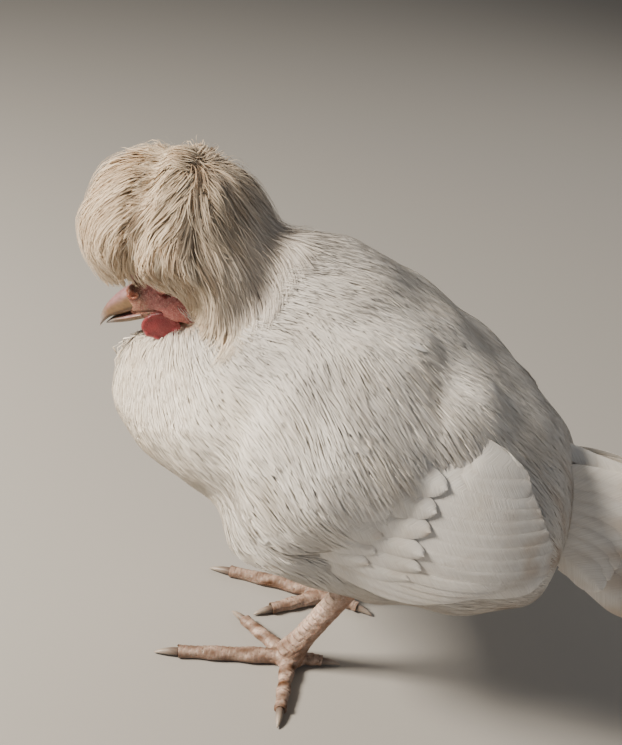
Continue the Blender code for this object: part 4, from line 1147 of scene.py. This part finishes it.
def makeWings():
    # vanes over the flank: x, z along a quadratic curve plus the width across it,
    # lifted by the arm, the shingle and the camber
    steps, columns = wing["steps"], wing["columns"]
    t = stepShares(steps)[:, None]
    column = np.linspace(-1, 1, columns)
    outer, inner = [], []
    for count, roots, middles, tips, half, lift, shingle, camber, widest in wing["rows"].values():
        for k in range(count):
            root, middle, tip = (mixed(*np.array(pair), k / (count - 1)) for pair in (roots, middles, tips))
            tip = tip + rng.normal(0, 0.0009, 2)
            line = root * (1 - t) ** 2 + (2 * middle - (root + tip) / 2) * 2 * t * (1 - t) + tip * t**2
            along = unit(np.gradient(line, axis=0))
            wide = leafWidths([half], steps, 0.55, widest)[0]
            across = np.stack([-along[:, 1], along[:, 0]], -1)[:, None] * (wide[:, None] * column)[..., None]
            x, z = np.moveaxis(line[:, None] + across, -1, 0)
            room = np.interp(z, wing["rearEdge"][:, 1], wing["rearEdge"][:, 0]) - x
            x = x + room - wing["rearSoftness"] * np.logaddexp(0, room / wing["rearSoftness"])
            high = mixed(*lift, t) + armHeight(line[:, 0], line[:, 1])[:, None]
            high = high - shingle * column * wide[:, None] / half
            high = high + camber * (1 - column**2) * easeStep(0, 0.5, t) - camber * easeStep(0.7, 1, t)
            high = high + wing["shaft"] * np.exp(-((column / 0.12) ** 2))
            hidden = np.maximum(easeStep(0.144, 0.162, line[:, 1]) * easeStep(0.068, 0.056, line[:, 0]),
                                easeStep(0.152, 0.160, line[:, 1]))
            high = high - 0.0050 * hidden[:, None]
            thick = wing["thick"] * (1 - 0.6 * t) * (1 - 0.6 * column**2)
            outer.append(onFlank(x, z, high + thick / 2))
            inner.append(onFlank(x, z, high - thick / 2))
    outer, inner = np.array(outer), np.array(inner)
    for side, word in ((-1, "left"), (1, "right")):
        mirrored = np.array((1, -side, 1))
        grid, under = outer * mirrored, inner * mirrored
        starts = bodySpot(grid[:, 0, columns // 2])
        points, faces, maps, values, rims = slabMesh(grid, under, starts, rng.uniform(0, 1, len(grid)))
        tips = easeStep(0.75, 1.0, values["along"])
        shades = coatColour(points, values["seed"])
        stains = 0.40 * tips * np.clip(ripple(points, 0.012, 6), 0, 1)
        stains = stains + 0.22 * np.clip(ripple(points, 0.009, 7) - 0.45, 0, 1)
        shades = moved(shades, tone("stain"), stains)
        meshPiece(f"wingVanes_{word}", points, faces, vaneFinish, (f"wing_{word}",), maps, values,
                  {"coat": shades}, rims)


makeWings()
print("wings made")


# Coat of the body

coat = {"broadCount": 3000, "broadLength": (0.020, 0.029), "broadHalf": (0.0056, 0.0076), "thighCount": 500,
        "tuftCount": 1500, "fineCount": 26000, "fineLength": (0.011, 0.018), "fineHalf": (0.00018, 0.00032),
        "fineThighCount": 3000, "underCount": 8500, "underLength": (0.015, 0.021),
        "underHalf": (0.0006, 0.0010)}


def coatSurface(p):
    # the coat's own outside: over the wing's arm it lies on the coverts, and it swells in soft puffs
    x, z = p[..., 0], p[..., 2]
    aside = easeStep(0.012, 0.030, np.abs(p[..., 1]))
    arm = easeStep(1.10, 0.92, armShare(x, z))
    rear = np.exp(-(((x - 0.062) / 0.030) ** 2) - ((z - 0.168) / 0.022) ** 2)
    rump = np.exp(-(((x - 0.090) / 0.022) ** 2) - ((z - 0.158) / 0.020) ** 2)
    # fills the room inside the wing's tip
    fluff = np.exp(-(((x - 0.088) / 0.022) ** 2) - ((z - 0.126) / 0.026) ** 2)
    rise = np.maximum((armHeight(x, z) + 0.0030) * arm, np.maximum(0.0062 * rear, 0.0060 * fluff))
    return coatDistance(p) - np.maximum(rise * aside, 0.0050 * rump) - 0.0014 * ripple(p, 0.045, 61)


def overWing(p):
    # how far below the end of the shoulder's feathers a point on the flank lies, within the wing's outline
    line = np.interp(p[:, 0], wing["shoulderLine"][:, 0], wing["shoulderLine"][:, 1])
    inWing = armShare(p[:, 0], p[:, 2]) < 0.94
    dx, dz = p[:, 0] - 0.050, p[:, 2] - 0.128
    c, s = math.cos(math.radians(-24)), math.sin(math.radians(-24))
    inWing |= np.hypot((dx * c + dz * s) / 0.052, (-dx * s + dz * c) / 0.029) < 1
    return np.where(inWing & (np.abs(p[:, 1]) > 0.030), line - p[:, 2], -1.0)


def bodyRoots(count, start=0):
    # even draws over the body: along it by the area of its rings, round it by angle
    u, v = evenDraws(count, start)
    area = np.cumsum((bodyCurve[:, 1] - bodyCurve[:, 2]) / 2 + bodyCurve[:, 3] + 0.012)
    along = np.interp(u, area / area[-1], bodyCurve[:, 0])
    angle = v * 2 * math.pi
    top, under, half = (np.interp(along, bodyCurve[:, 0], bodyCurve[:, k]) for k in (1, 2, 3))
    up = np.cos(angle)
    y = half * np.sin(angle) * narrowed(along, up)
    return np.stack([along, y, (top + under) / 2 + (top - under) / 2 * up], -1)


def thighRoots(count):
    # even draws round both thighs, left out where the body covers them
    u, v = evenDraws(count, 500)
    side = np.where(np.arange(count) % 2, 1.0, -1.0)
    a, b = np.array(thigh["top"]), np.array(thigh["hock"])
    axis = unit(b - a)
    across = unit(np.cross(axis, (0.0, 1.0, 0.0)))
    angle = v[:, None] * 2 * math.pi
    radius = thigh["topRadius"] + (thigh["hockRadius"] - thigh["topRadius"]) * u[:, None] ** 1.5
    p = a + (b - a) * u[:, None] + (np.cos(angle) * across + np.sin(angle) * np.cross(axis, across)) * radius
    p[:, 1] *= side
    return p[bodyDistance(p) > -0.002]


def coatFlow(p):
    # away from the head and backwards; down the thighs to the hock
    way = unit(p - np.array(head["middle"])) + np.array((0.75, 0.0, -0.12))
    x, z = p[..., 0], p[..., 2]
    outside = thighDistance(p) - np.maximum(bodyDistance(p), -0.004)
    leg = easeStep(0.004, -0.002, outside) * easeStep(0.100, 0.080, z)
    shoulder = easeStep(-0.030, 0.000, x) * easeStep(0.105, 0.135, z)
    shoulder = shoulder * easeStep(0.022, 0.050, np.abs(p[..., 1]))
    way = mixed(way, np.array((0.62, 0.0, -1.0)) * 1.6, (0.85 * shoulder)[..., None])
    return mixed(way, np.array((0.60, 0.0, -1.0)), leg[..., None])


def layCoat(name, roots, lengths, halves, steps, heights, thick, look, widths, colour=coatColour,
            field=coatSurface, flow=coatFlow, spot=bodySpot, turn=0.08, rollBy=0.06, cup=0.08, ridged=True,
            limit=3600, replaces=(), tufts=None):
    # one layer of feathers over a field, cut into pieces; look is the material, and a slot name that is not
    # used
    count = len(roots)
    seeds = rng.uniform(0, 1, count)
    paths, normals = layPaths(roots, lengths, heights, flow, field, turn)
    wide = widths(halves, steps)
    shades = colour(paths[:, steps // 2 + 1], seeds)
    if tufts is not None:
        pull = np.array(tufts["pull"] * np.interp(roots[:, 0], (-0.06, -0.04), (1, tufts.get("behind", 1))))
        paths, near = gathered(paths, tufts["paths"], pull[:, None, None])
        shades = moved(shades, tufts["deep"], tufts["shades"][near])
    spots = spot(roots)
    rolls = rng.normal(0, rollBy, count)

    def makePart(partName, chosen):
        points, faces, maps, values, rims = vaneMesh(paths[chosen], normals[chosen], wide[chosen], thick, cup,
                                                     spots[chosen], seeds[chosen], rolls[chosen], ridged)
        colours = {"coat": np.repeat(shades[chosen], len(points) // len(chosen), 0)}
        first = partName in (name, name + "1")
        meshPiece(partName, points, faces, look[0], replaces if first else (), maps, values, colours,
                  rims)

    inPieces(name, count, limit, makePart)


def risingHeights(low, top, steps, power=0.8):
    # heights from the root's depth up to each feather's own tip height
    top = np.asarray(top)[:, None]
    return low + (top - low) * stepShares(steps) ** power


def offFace(roots):
    # clear of the face, but close up under the throat
    reach = 0.027 - 0.008 * easeStep(0.174, 0.160, roots[:, 2])
    return np.linalg.norm(roots - np.array((-0.082, 0, 0.182)), axis=1) > reach


def makeCoat():
    # broad feathers underneath, and over them fine barbs gathered into soft tufts
    roots = np.concatenate([bodyRoots(coat["broadCount"]), thighRoots(coat["thighCount"])])
    roots = roots[(overWing(roots) < -0.007) & offFace(roots)]
    count = len(roots)
    small = 1 - 0.30 * easeStep(-0.055, -0.095, roots[:, 0]) - 0.25 * easeStep(0.07, 0.05, roots[:, 2])
    small = small * (1 - 0.55 * easeStep(-0.035, -0.010, overWing(roots)))
    lengths = rng.uniform(*coat["broadLength"], count) * small
    halves = rng.uniform(*coat["broadHalf"], count) * small
    heights = risingHeights(-0.0032, rng.uniform(-0.0011, -0.0006, count), 8)
    layCoat("coatFeathers", roots, lengths, halves, 8, heights, 0.0004, (plumageFinish, "plumage"),
            leafWidths, cup=0.14)
    print("broad feathers", count)
    roots = bodyRoots(coat["underCount"], 60000)
    roots = roots[(overWing(roots) < rng.uniform(-0.016, -0.004, len(roots))) & offFace(roots)]
    count = len(roots)
    lengths, halves = rng.uniform(*coat["underLength"], count), rng.uniform(*coat["underHalf"], count)
    heights = risingHeights(-0.0012, rng.uniform(-0.0002, 0.0001, count), 5)
    turn = (0.08 * ripple(roots, 0.014, 65) + rng.normal(0, 0.04, count))[:, None]
    layCoat("coatLocks", roots, lengths, halves, 5, heights, 0.0003, (plumageFinish, "plumage"), lockWidths,
            turn=turn, ridged=False, limit=7500)
    print("locks", count)
    steps = 4
    guides = np.concatenate([bodyRoots(coat["tuftCount"], 4000), thighRoots(200)])
    shaggy = easeStep(0.030, -0.01, guides[:, 0]) * easeStep(0.150, 0.180, guides[:, 2])
    lift = rng.uniform(0.0000, 0.0004, len(guides)) + 0.0010 * shaggy * rng.uniform(0, 1, len(guides))
    turn = rng.normal(0, 0.10, (len(guides), 1)) * (1 + 1.5 * shaggy[:, None])
    tufts, _ = layPaths(guides, np.full(len(guides), 0.016), risingHeights(-0.0003, lift, steps), coatFlow,
                        coatSurface, turn)
    # each tuft greyer by a random share, and more down the hackle, where the grey is partly painted shade
    # under the crest
    shades = rng.uniform(0, 0.16, len(guides)) + 0.12 * shaggy
    tufts = {"paths": tufts, "pull": 0.35, "deep": tone("grey"), "shades": shades}
    roots = np.concatenate([bodyRoots(coat["fineCount"], 9000), thighRoots(coat["fineThighCount"])])
    roots = roots[(overWing(roots) < rng.uniform(-0.012, 0.004, len(roots))) & offFace(roots)]
    count = len(roots)
    shaggy = easeStep(0.030, -0.01, roots[:, 0]) * easeStep(0.150, 0.180, roots[:, 2])
    lengths = rng.uniform(*coat["fineLength"], count) * (1 + 0.4 * shaggy)
    halves = rng.uniform(*coat["fineHalf"], count)
    heights = risingHeights(-0.0005, rng.uniform(0.0000, 0.00028, count) + 0.0006 * shaggy, steps)
    turn = (0.10 * ripple(roots, 0.012, 63) + rng.normal(0, 0.04, count) * (1 + 2 * shaggy))[:, None]
    layCoat("coatBarbs", roots, lengths, halves, steps, heights, 0.0003, (plumageFinish, "plumage"),
            lockWidths, turn=turn, ridged=False, limit=9500, tufts=tufts)
    print("fine barbs", count)


def bristleFlow(p):
    # backwards and down
    return np.array((0.75, 0.0, -0.60)) + 0 * p


def makeBristles():
    # short pale bristles at the back of the cheek
    count = 520
    along, up = rng.normal(0.057, 0.0034, count), rng.normal(-0.0030, 0.0034, count)
    side = np.where(np.arange(count) % 2, 1.0, -1.0)
    roots = fromHead(along, side * 0.016, up)
    lengths, halves = rng.uniform(0.004, 0.009, count), rng.uniform(0.00012, 0.00022, count)
    heights = risingHeights(-0.0004, rng.uniform(0.0006, 0.0022, count), 5)
    layCoat("cheekBristles", roots, lengths, halves, 5, heights, 0.0002, (plumageFinish, "face"), lockWidths,
            field=skullDistance, flow=bristleFlow, turn=rng.normal(0, 0.25, count)[:, None], ridged=False)


makeCoat()
makeBristles()
print("coat made")


# Crest

crest = {
    "centre": (-0.079, 0.0, 0.203), "reach": (0.0415, 0.0410, 0.0405), "whorl": (0.04, -0.12, 1.0),
    "skirt": 0.036, "skirtWay": (0.74, 0.0, -0.67),
    "crease": -0.089, "creaseDepth": 0.0050,  # x of the parting down each side, and its depth
    # x, z of the lower edge over the bill and the face
    "brow": np.array([(-0.122, 0.196), (-0.112, 0.185), (-0.104, 0.182), (-0.094, 0.186), (-0.084, 0.190),
                      (-0.074, 0.192), (-0.067, 0.187), (-0.062, 0.177), (-0.056, 0.168), (-0.050, 0.160)]),
    "browEnd": -0.050, "tuck": 0.34,
}


def crestDistance(p):
    # a globe drawn in above the face, with a skirt at its back, parted and fluted down from the whorl
    out = p - np.array(crest["centre"])
    tuck = crest["tuck"] * easeStep(0.208, 0.184, p[..., 2]) * easeStep(-0.046, -0.062, p[..., 0])
    out = out / np.stack([np.ones_like(tuck), 1 - tuck, np.ones_like(tuck)], -1)
    far = np.linalg.norm(out, axis=-1)
    way = out / np.maximum(far, 1e-9)[..., None]
    reach = 1 / np.linalg.norm(way / np.array(crest["reach"]), axis=-1)
    reach = reach + crest["skirt"] * np.maximum(way @ np.array(crest["skirtWay"]), 0) ** 3
    bend = crest["crease"] + 0.004 * np.sin((p[..., 2] - 0.20) / 0.012)
    bend = bend + 0.004 * easeStep(0.220, 0.244, p[..., 2])
    parting = np.exp(-(((p[..., 0] - bend) / 0.0045) ** 2)) * easeStep(0.180, 0.200, p[..., 2])
    parting = parting * (0.55 + 0.45 * easeStep(0.004, 0.016, np.abs(out[..., 1])))
    turn = np.arctan2(out[..., 1], out[..., 0])
    flutes = np.sin(13 * turn + 3 * np.sin(out[..., 2] / 0.011))
    flutes = flutes * easeStep(0.05, 0.5, np.hypot(way[..., 0], way[..., 1]))
    return far - reach + crest["creaseDepth"] * parting + 0.0006 * flutes - 0.0016 * ripple(p, 0.030, 71)


def crestSurface(p):
    # the crest, and the neck's coat where the crest falls on it
    return softMin(crestDistance(p), coatDistance(p) - 0.0012, 0.006)


def crestFlow(p):
    # from the whorl forwards and down, then curling in to bill and face; behind it trails backwards
    pole = unit(np.array(crest["whorl"]))
    out = unit(p - np.array(crest["centre"]))
    way = unit(out * (out @ pole)[..., None] - pole)
    x, z = p[..., 0], p[..., 2]
    above = easeStep(0.212, 0.226, z) * easeStep(-0.058, -0.070, x)
    infront = easeStep(-0.092, -0.104, x) * easeStep(0.222, 0.196, z)
    beside = easeStep(-0.094, -0.086, x) * easeStep(-0.062, -0.074, x) * easeStep(0.212, 0.192, z)
    behind = easeStep(-0.072, -0.056, x)
    ahead = 0.9 * infront + 0.7 * beside + 0.35 * behind - 0.7 * above
    return way + np.array((1.0, 0, 0)) * ahead[..., None]


def topFlow(p):
    # the tuft over the whorl lies forwards
    return np.array((-1.0, -0.25, 0.0)) + 0 * p


def crestRoots(count, start, lowest):
    # even draws over the globe's top, down to a lowest angle from the whorl
    u, v = evenDraws(count, start)
    pole = unit(np.array(crest["whorl"]))
    ahead = unit(np.cross(np.cross(pole, (-1.0, 0, 0)), pole))
    rise = 1 - u * (1 - math.cos(math.radians(lowest)))
    turn = (v * 2 * math.pi)[:, None]
    flat = np.sqrt(1 - rise**2)[:, None]
    way = rise[:, None] * pole + flat * (np.cos(turn) * ahead + np.sin(turn) * np.cross(pole, ahead))
    return np.array(crest["centre"]) + way * 0.040


def browHeight(p):
    # the lower edge of the crest where it hangs over the face
    return np.where(p[..., 0] < crest["browEnd"],
                    np.interp(p[..., 0], crest["brow"][:, 0], crest["brow"][:, 1]), 0.0)


def aboveBrow(paths, lengths, margin):
    # shortens what would hang over the face: up to the step before it passes the lower edge
    low = paths[..., 2] < browHeight(paths) + margin
    first = np.where(low.any(1), low.argmax(1) - 1, paths.shape[1] - 1)
    return lengths * np.maximum(stepShares(paths.shape[1])[np.maximum(first, 0)], 0.12)


def crestColour(p, seeds):
    # cream with tan patches in front, greyer and paler behind; the tan and the grey are partly painted shade
    patches = 0.60 * np.clip(ripple(p, 0.014, 12), 0, 1) + 0.20 * seeds
    colour = moved(tone("crest"), tone("crestTanAndShade"), patches)
    behind = easeStep(-0.088, -0.046, p[:, 0])
    greyer = moved(tone("crest"), tone("grey"), 0.40 + 0.25 * ripple(p, 0.020, 14))
    colour = moved(colour, greyer, 0.80 * behind)
    colour = moved(colour, coatColour(p, seeds), easeStep(-0.052, -0.026, p[:, 0]))
    return np.clip(colour * (0.94 + 0.12 * seeds[:, None]), 0, 1)


def crestSpot(p):
    # the globe unrolled round its upright axis, by height
    out = unit(p - np.array(crest["centre"]))
    return np.stack([0.5 + np.arctan2(out[:, 1], out[:, 0]) / (2 * math.pi) * 0.97, 0.5 + 0.48 * out[:, 2]],
                    -1)


def crestPaths(roots, length, steps, lift, curl, low, flow=crestFlow, margin=0.0):
    # paths over the crest: long in front, short and curly at the sides, smooth behind
    roots = roots[roots[:, 2] > browHeight(roots) + 0.002 + margin]
    count = len(roots)
    front, back = easeStep(-0.084, -0.093, roots[:, 0]), easeStep(-0.066, -0.050, roots[:, 0])
    curly = 1 - np.maximum(front, back)
    full = rng.uniform(*length, count) * (1 + 0.9 * front + 0.15 * back)
    share = stepShares(steps)
    rise = np.sin(np.minimum(share / 0.4, 1) * math.pi / 2)
    tops = lift[0] + rng.uniform(0, lift[1] - lift[0], count) * (0.35 + 0.65 * curly)
    heights = low + (tops[:, None] - low) * rise
    bend = (curl[0] * ripple(roots, 0.016, 21 + steps)
            + rng.normal(0, curl[1], count)) * (0.30 + 0.70 * curly)
    turn = bend[:, None] * (share - 0.3) * 2
    lengths = full
    for _ in range(3):
        paths, _ = layPaths(roots, lengths, heights, flow, crestSurface, turn)
        lengths = aboveBrow(paths, lengths, margin)
    return roots, lengths, heights, turn, paths, np.clip(lengths / full * 1.5, 0.4, 1)


def layCrest(name, roots, length, half, steps, lift, curl, thick, widths, low=-0.0050, flow=crestFlow,
             margin=0.0, **more):
    # one layer of the crest: its paths, laid as a coat in the crest's own finish
    roots, lengths, heights, turn, _, share = crestPaths(roots, length, steps, lift, curl, low, flow, margin)
    halves = rng.uniform(*half, len(roots)) * share
    layCoat(name, roots, lengths, halves, steps, heights, thick, (crestFinish, "crest"), widths, crestColour,
            crestSurface, flow, crestSpot, turn, 0.20, **more)


def makeCrest():
    # a bed of leaves, then locks and fine strands gathered into tufts, and a tuft that covers the whorl
    layCrest("crestBed", crestRoots(420, 0, 105), (0.018, 0.024), (0.0045, 0.0060), 9, (-0.0034, -0.0022),
             (0.1, 0.05), 0.0006, leafWidths, -0.0050, margin=0.004, replaces=("crest",))
    steps = 6
    tufts = crestPaths(crestRoots(620, 2000, 112), (0.016, 0.024), steps, (-0.0004, 0.0026), (0.7, 0.30),
                       -0.0024)[4]
    # each tuft darkened towards the crest's tan-brown by a random share, more in front: partly colour, partly
    # painted shade between tufts
    shades = rng.uniform(0, 1, len(tufts)) ** 2 * np.interp(tufts[:, 0, 0], (-0.07, -0.05), (0.75, 0.15))
    tufts = {"paths": tufts, "pull": 0.70, "behind": 0.25, "deep": tone("crestTanAndShade"), "shades": shades}
    layCrest("crestLocks", crestRoots(1500, 3000, 112), (0.016, 0.026), (0.0007, 0.0012), steps,
             (-0.0016, -0.0004), (0.4, 0.12), 0.0004, lockWidths, -0.0026, tufts={**tufts, "pull": 0.5})
    layCrest("crestStrands", crestRoots(12500, 7000, 114), (0.014, 0.024), (0.00018, 0.00034), steps,
             (-0.0006, 0.0008), (0.4, 0.14), 0.0003, lockWidths, -0.0012, ridged=False, limit=6000,
             tufts=tufts)
    layCrest("crestStrays", crestRoots(900, 50000, 100), (0.010, 0.020), (0.00012, 0.00020), steps,
             (0.0010, 0.0042), (0.8, 0.45), 0.0002, lockWidths, -0.0006, ridged=False)
    pole = np.array(crest["centre"]) + unit(np.array(crest["whorl"])) * 0.041
    roots = pole + np.stack([rng.uniform(-0.004, 0.010, 420), rng.uniform(-0.012, 0.012, 420), np.zeros(420)],
                            -1)
    layCrest("crestTop", roots, (0.010, 0.017), (0.00020, 0.00036), steps, (0.0006, 0.0024), (0.4, 0.16),
             0.0003, lockWidths, -0.0012, topFlow, ridged=False)


makeCrest()
print("crest made")


# Tail

tail = {
    "ridge": (0.110, 0.137), "opening": (math.radians(10), math.radians(27)), "roll": 0.22, "sag": 0.010,
    "columns": 9, "steps": 24, "thick": 0.0005,
    # pairs; length, slope down from the top pair to the lowest; half width, spacing, how far out, start
    "rows": {
        "quills": (7, (0.112, 0.098), (math.radians(3), math.radians(16)), 0.0115, 0.0066, 0.0, 0.008),
        "coverts": (8, (0.062, 0.046), (math.radians(2), math.radians(14)), 0.0085, 0.0056, 0.0034, 0.002),
        "smallCoverts": (8, (0.038, 0.026), (math.radians(0), math.radians(12)), 0.0075, 0.0052, 0.0058,
                         -0.004),
    },
    # over the gap between the two sides: length, start, height over the ridge, half width
    "topFeathers": ((0.108, 0.000, 0.0012, 0.0090), (0.084, -0.002, 0.0024, 0.0098),
                    (0.060, -0.004, 0.0038, 0.0104), (0.038, -0.006, 0.0052, 0.0108)),
    "topFall": 0.75,  # how far their edges hang down, in half widths
}


def makeTail():
    # vanes down both sides of a ridge that opens and sags towards its end, and some over the ridge
    steps, columns = tail["steps"], tail["columns"]
    t = stepShares(steps)
    column = np.linspace(-1, 1, columns)
    outer, inner = [], []
    for pairs, lengths, slopes, half, spacing, out, start in tail["rows"].values():
        for rank in range(pairs):
            for side in (-1, 1):
                share = rank / (pairs - 1)
                length = mixed(*lengths, share) * rng.uniform(0.97, 1.0)
                slope = mixed(*slopes, share)
                wide = leafWidths([half], steps, 0.6, 0.70)[0]
                opening = mixed(*tail["opening"], t)
                along = start + (length - start) * t
                down = half * 0.85 + spacing * rank
                x = tail["ridge"][0] + along * math.cos(slope)
                y = 0.0006 + down * np.sin(opening) + out * np.cos(opening)
                z = tail["ridge"][1] - along * math.sin(slope) - tail["sag"] * t**2
                z = z - down * np.cos(opening) + out * np.sin(opening)
                path = np.stack([x, side * y, z], -1)
                tangent = unit(np.gradient(path, axis=0))
                normal = np.stack([0 * t, side * np.cos(opening), np.sin(opening)], -1)
                beside = unit(np.cross(tangent, normal))
                face = np.cross(beside, tangent)
                roll = side * tail["roll"]
                cosine, sine = math.cos(roll), math.sin(roll)
                beside, face = beside * cosine + face * sine, face * cosine - beside * sine
                high = 0.0010 * (1 - column**2) + 0.0003 * np.exp(-((column / 0.12) ** 2))
                grid = path[:, None] + beside[:, None] * (wide[:, None] * column)[..., None]
                grid = grid + face[:, None] * high[:, None]
                grid[..., 1] = side * np.maximum(side * grid[..., 1], 0.0006)
                thick = (tail["thick"] * (1 - 0.6 * t[:, None])
                         * (1 - 0.6 * column**2))[..., None] * face[:, None]
                outer.append(grid + thick / 2)
                inner.append(grid - thick / 2)
    for length, start, height, half in tail["topFeathers"]:
        along, slope = start + (length - start) * t, tail["rows"]["quills"][2][0]
        wide = leafWidths([half], steps, 0.6, 0.60)[0][:, None]
        across = wide * column
        x = tail["ridge"][0] + along * math.cos(slope)
        z = tail["ridge"][1] + height * (1 - 0.6 * t) - along * math.sin(slope) - tail["sag"] * t**2
        fall = tail["topFall"] * wide * (np.sqrt(column**2 + 0.06) - math.sqrt(0.06))
        grid = np.stack([x[:, None] + 0 * across, across * 0.75, z[:, None] - fall], -1)
        thick = (tail["thick"] * (1 - 0.6 * t[:, None])
                 * (1 - 0.6 * column**2))[..., None] * np.array((0, 0, 1.0))
        outer.append(grid + thick / 2)
        inner.append(grid - thick / 2)
    outer, inner = np.array(outer), np.array(inner)
    starts = bodySpot(outer[:, 0, columns // 2])
    points, faces, maps, values, rims = slabMesh(outer, inner, starts, rng.uniform(0, 1, len(outer)))
    shades = coatColour(points * (0.5, 1, 1) + np.array((0.02, 0, 0)), values["seed"])
    stain = 0.40 * np.clip(ripple(points * (0.3, 1, 1), 0.012, 16) + 0.15, 0, 1)
    stain = stain * easeStep(0.2, 0.9, values["along"])
    shades = moved(shades, tone("stain"), stain)
    meshPiece("tailVanes", points, faces, vaneFinish, ("tail",), maps, values, {"coat": shades}, rims)


makeTail()
print("tail made")


# Camera, light and floor

camera = {"at": (0.0489, -0.4344, 0.4040), "right": (0.9903, 0.1392, 0.0), "forward": (-0.1205, 0.8576, -0.5),
          "up": (-0.0696, 0.4951, 0.8660), "roll": math.radians(7.8), "lens": 54.1, "sensor": 36}
lights = {  # place, what it points at, size, watts, colour
    "key": ((-1.00, -0.38, 0.86), (0, 0, 0.12), 0.30, 50, (1.0, 0.91, 0.78)),
    "fill": ((0.7, -1.0, 0.5), (0, 0, 0.10), 1.0, 1.8, (0.90, 0.94, 1.0)),
    "back": ((0.5, 1.0, 0.9), (0, 0, 0.12), 0.7, 5, (1.0, 0.96, 0.90)),
}
studio = {"floor": (0.33, 0.315, 0.295, 1), "half": 4, "sky": (0.84, 0.88, 0.95, 1), "skyStrength": 0.09}


def setPlace(obj, axes, at):
    # sets an object by its three axes and its place
    rows = [[*row, spot] for row, spot in zip(np.stack(axes, 1), at)]
    obj.matrix_world = Matrix(rows + [[0, 0, 0, 1]])


def makeCamera():
    # the photo's view: right and up turned by the roll, looking down and forwards
    obj = bpy.data.objects.new("photoCamera", bpy.data.cameras.new("photoCamera"))
    bpy.context.scene.collection.objects.link(obj)
    right, forward, up = (np.array(camera[key]) for key in ("right", "forward", "up"))
    roll = camera["roll"]
    across = math.cos(roll) * right + math.sin(roll) * up
    upright = -math.sin(roll) * right + math.cos(roll) * up
    setPlace(obj, (across, upright, -forward), np.array(camera["at"]) + birdMove)
    obj.data.sensor_width = camera["sensor"]
    obj.data.lens = camera["lens"]
    obj.data.clip_start = 0.01
    bpy.context.scene.camera = obj


def makeLight(name, at, aim, size, power, colour):
    # a square light that faces what it aims at
    light = bpy.data.objects.new(name, bpy.data.lights.new(name, "AREA"))
    bpy.context.scene.collection.objects.link(light)
    light.data.size = size
    light.data.energy = power
    light.data.color = colour
    back = unit(np.array(at, float) - np.array(aim, float))
    across = unit(np.cross((0.0, 0.0, 1.0), back))
    setPlace(light, (across, np.cross(back, across), back), at)


def makeFloor():
    # a plain pale floor under a pale sky
    material, tree, shader = newMaterial("paleFloor")
    feed(tree, shader, {"Base Color": studio["floor"], "Roughness": 0.85})
    mesh = bpy.data.meshes.new("floor")
    half = studio["half"]
    mesh.from_pydata([(-half, -half, 0), (half, -half, 0), (half, half, 0), (-half, half, 0)], [],
                     [(0, 1, 2, 3)])
    mesh.materials.append(material)
    floor = bpy.data.objects.new("floor", mesh)
    bpy.context.scene.collection.objects.link(floor)
    world = bpy.data.worlds.new("studio")
    world.use_nodes = True
    sky = world.node_tree.nodes["Background"]
    feed(world.node_tree, sky, {"Color": studio["sky"], "Strength": studio["skyStrength"]})
    bpy.context.scene.world = world


makeCamera()
for lightName, settings in lights.items():
    makeLight(lightName, *settings)
makeFloor()
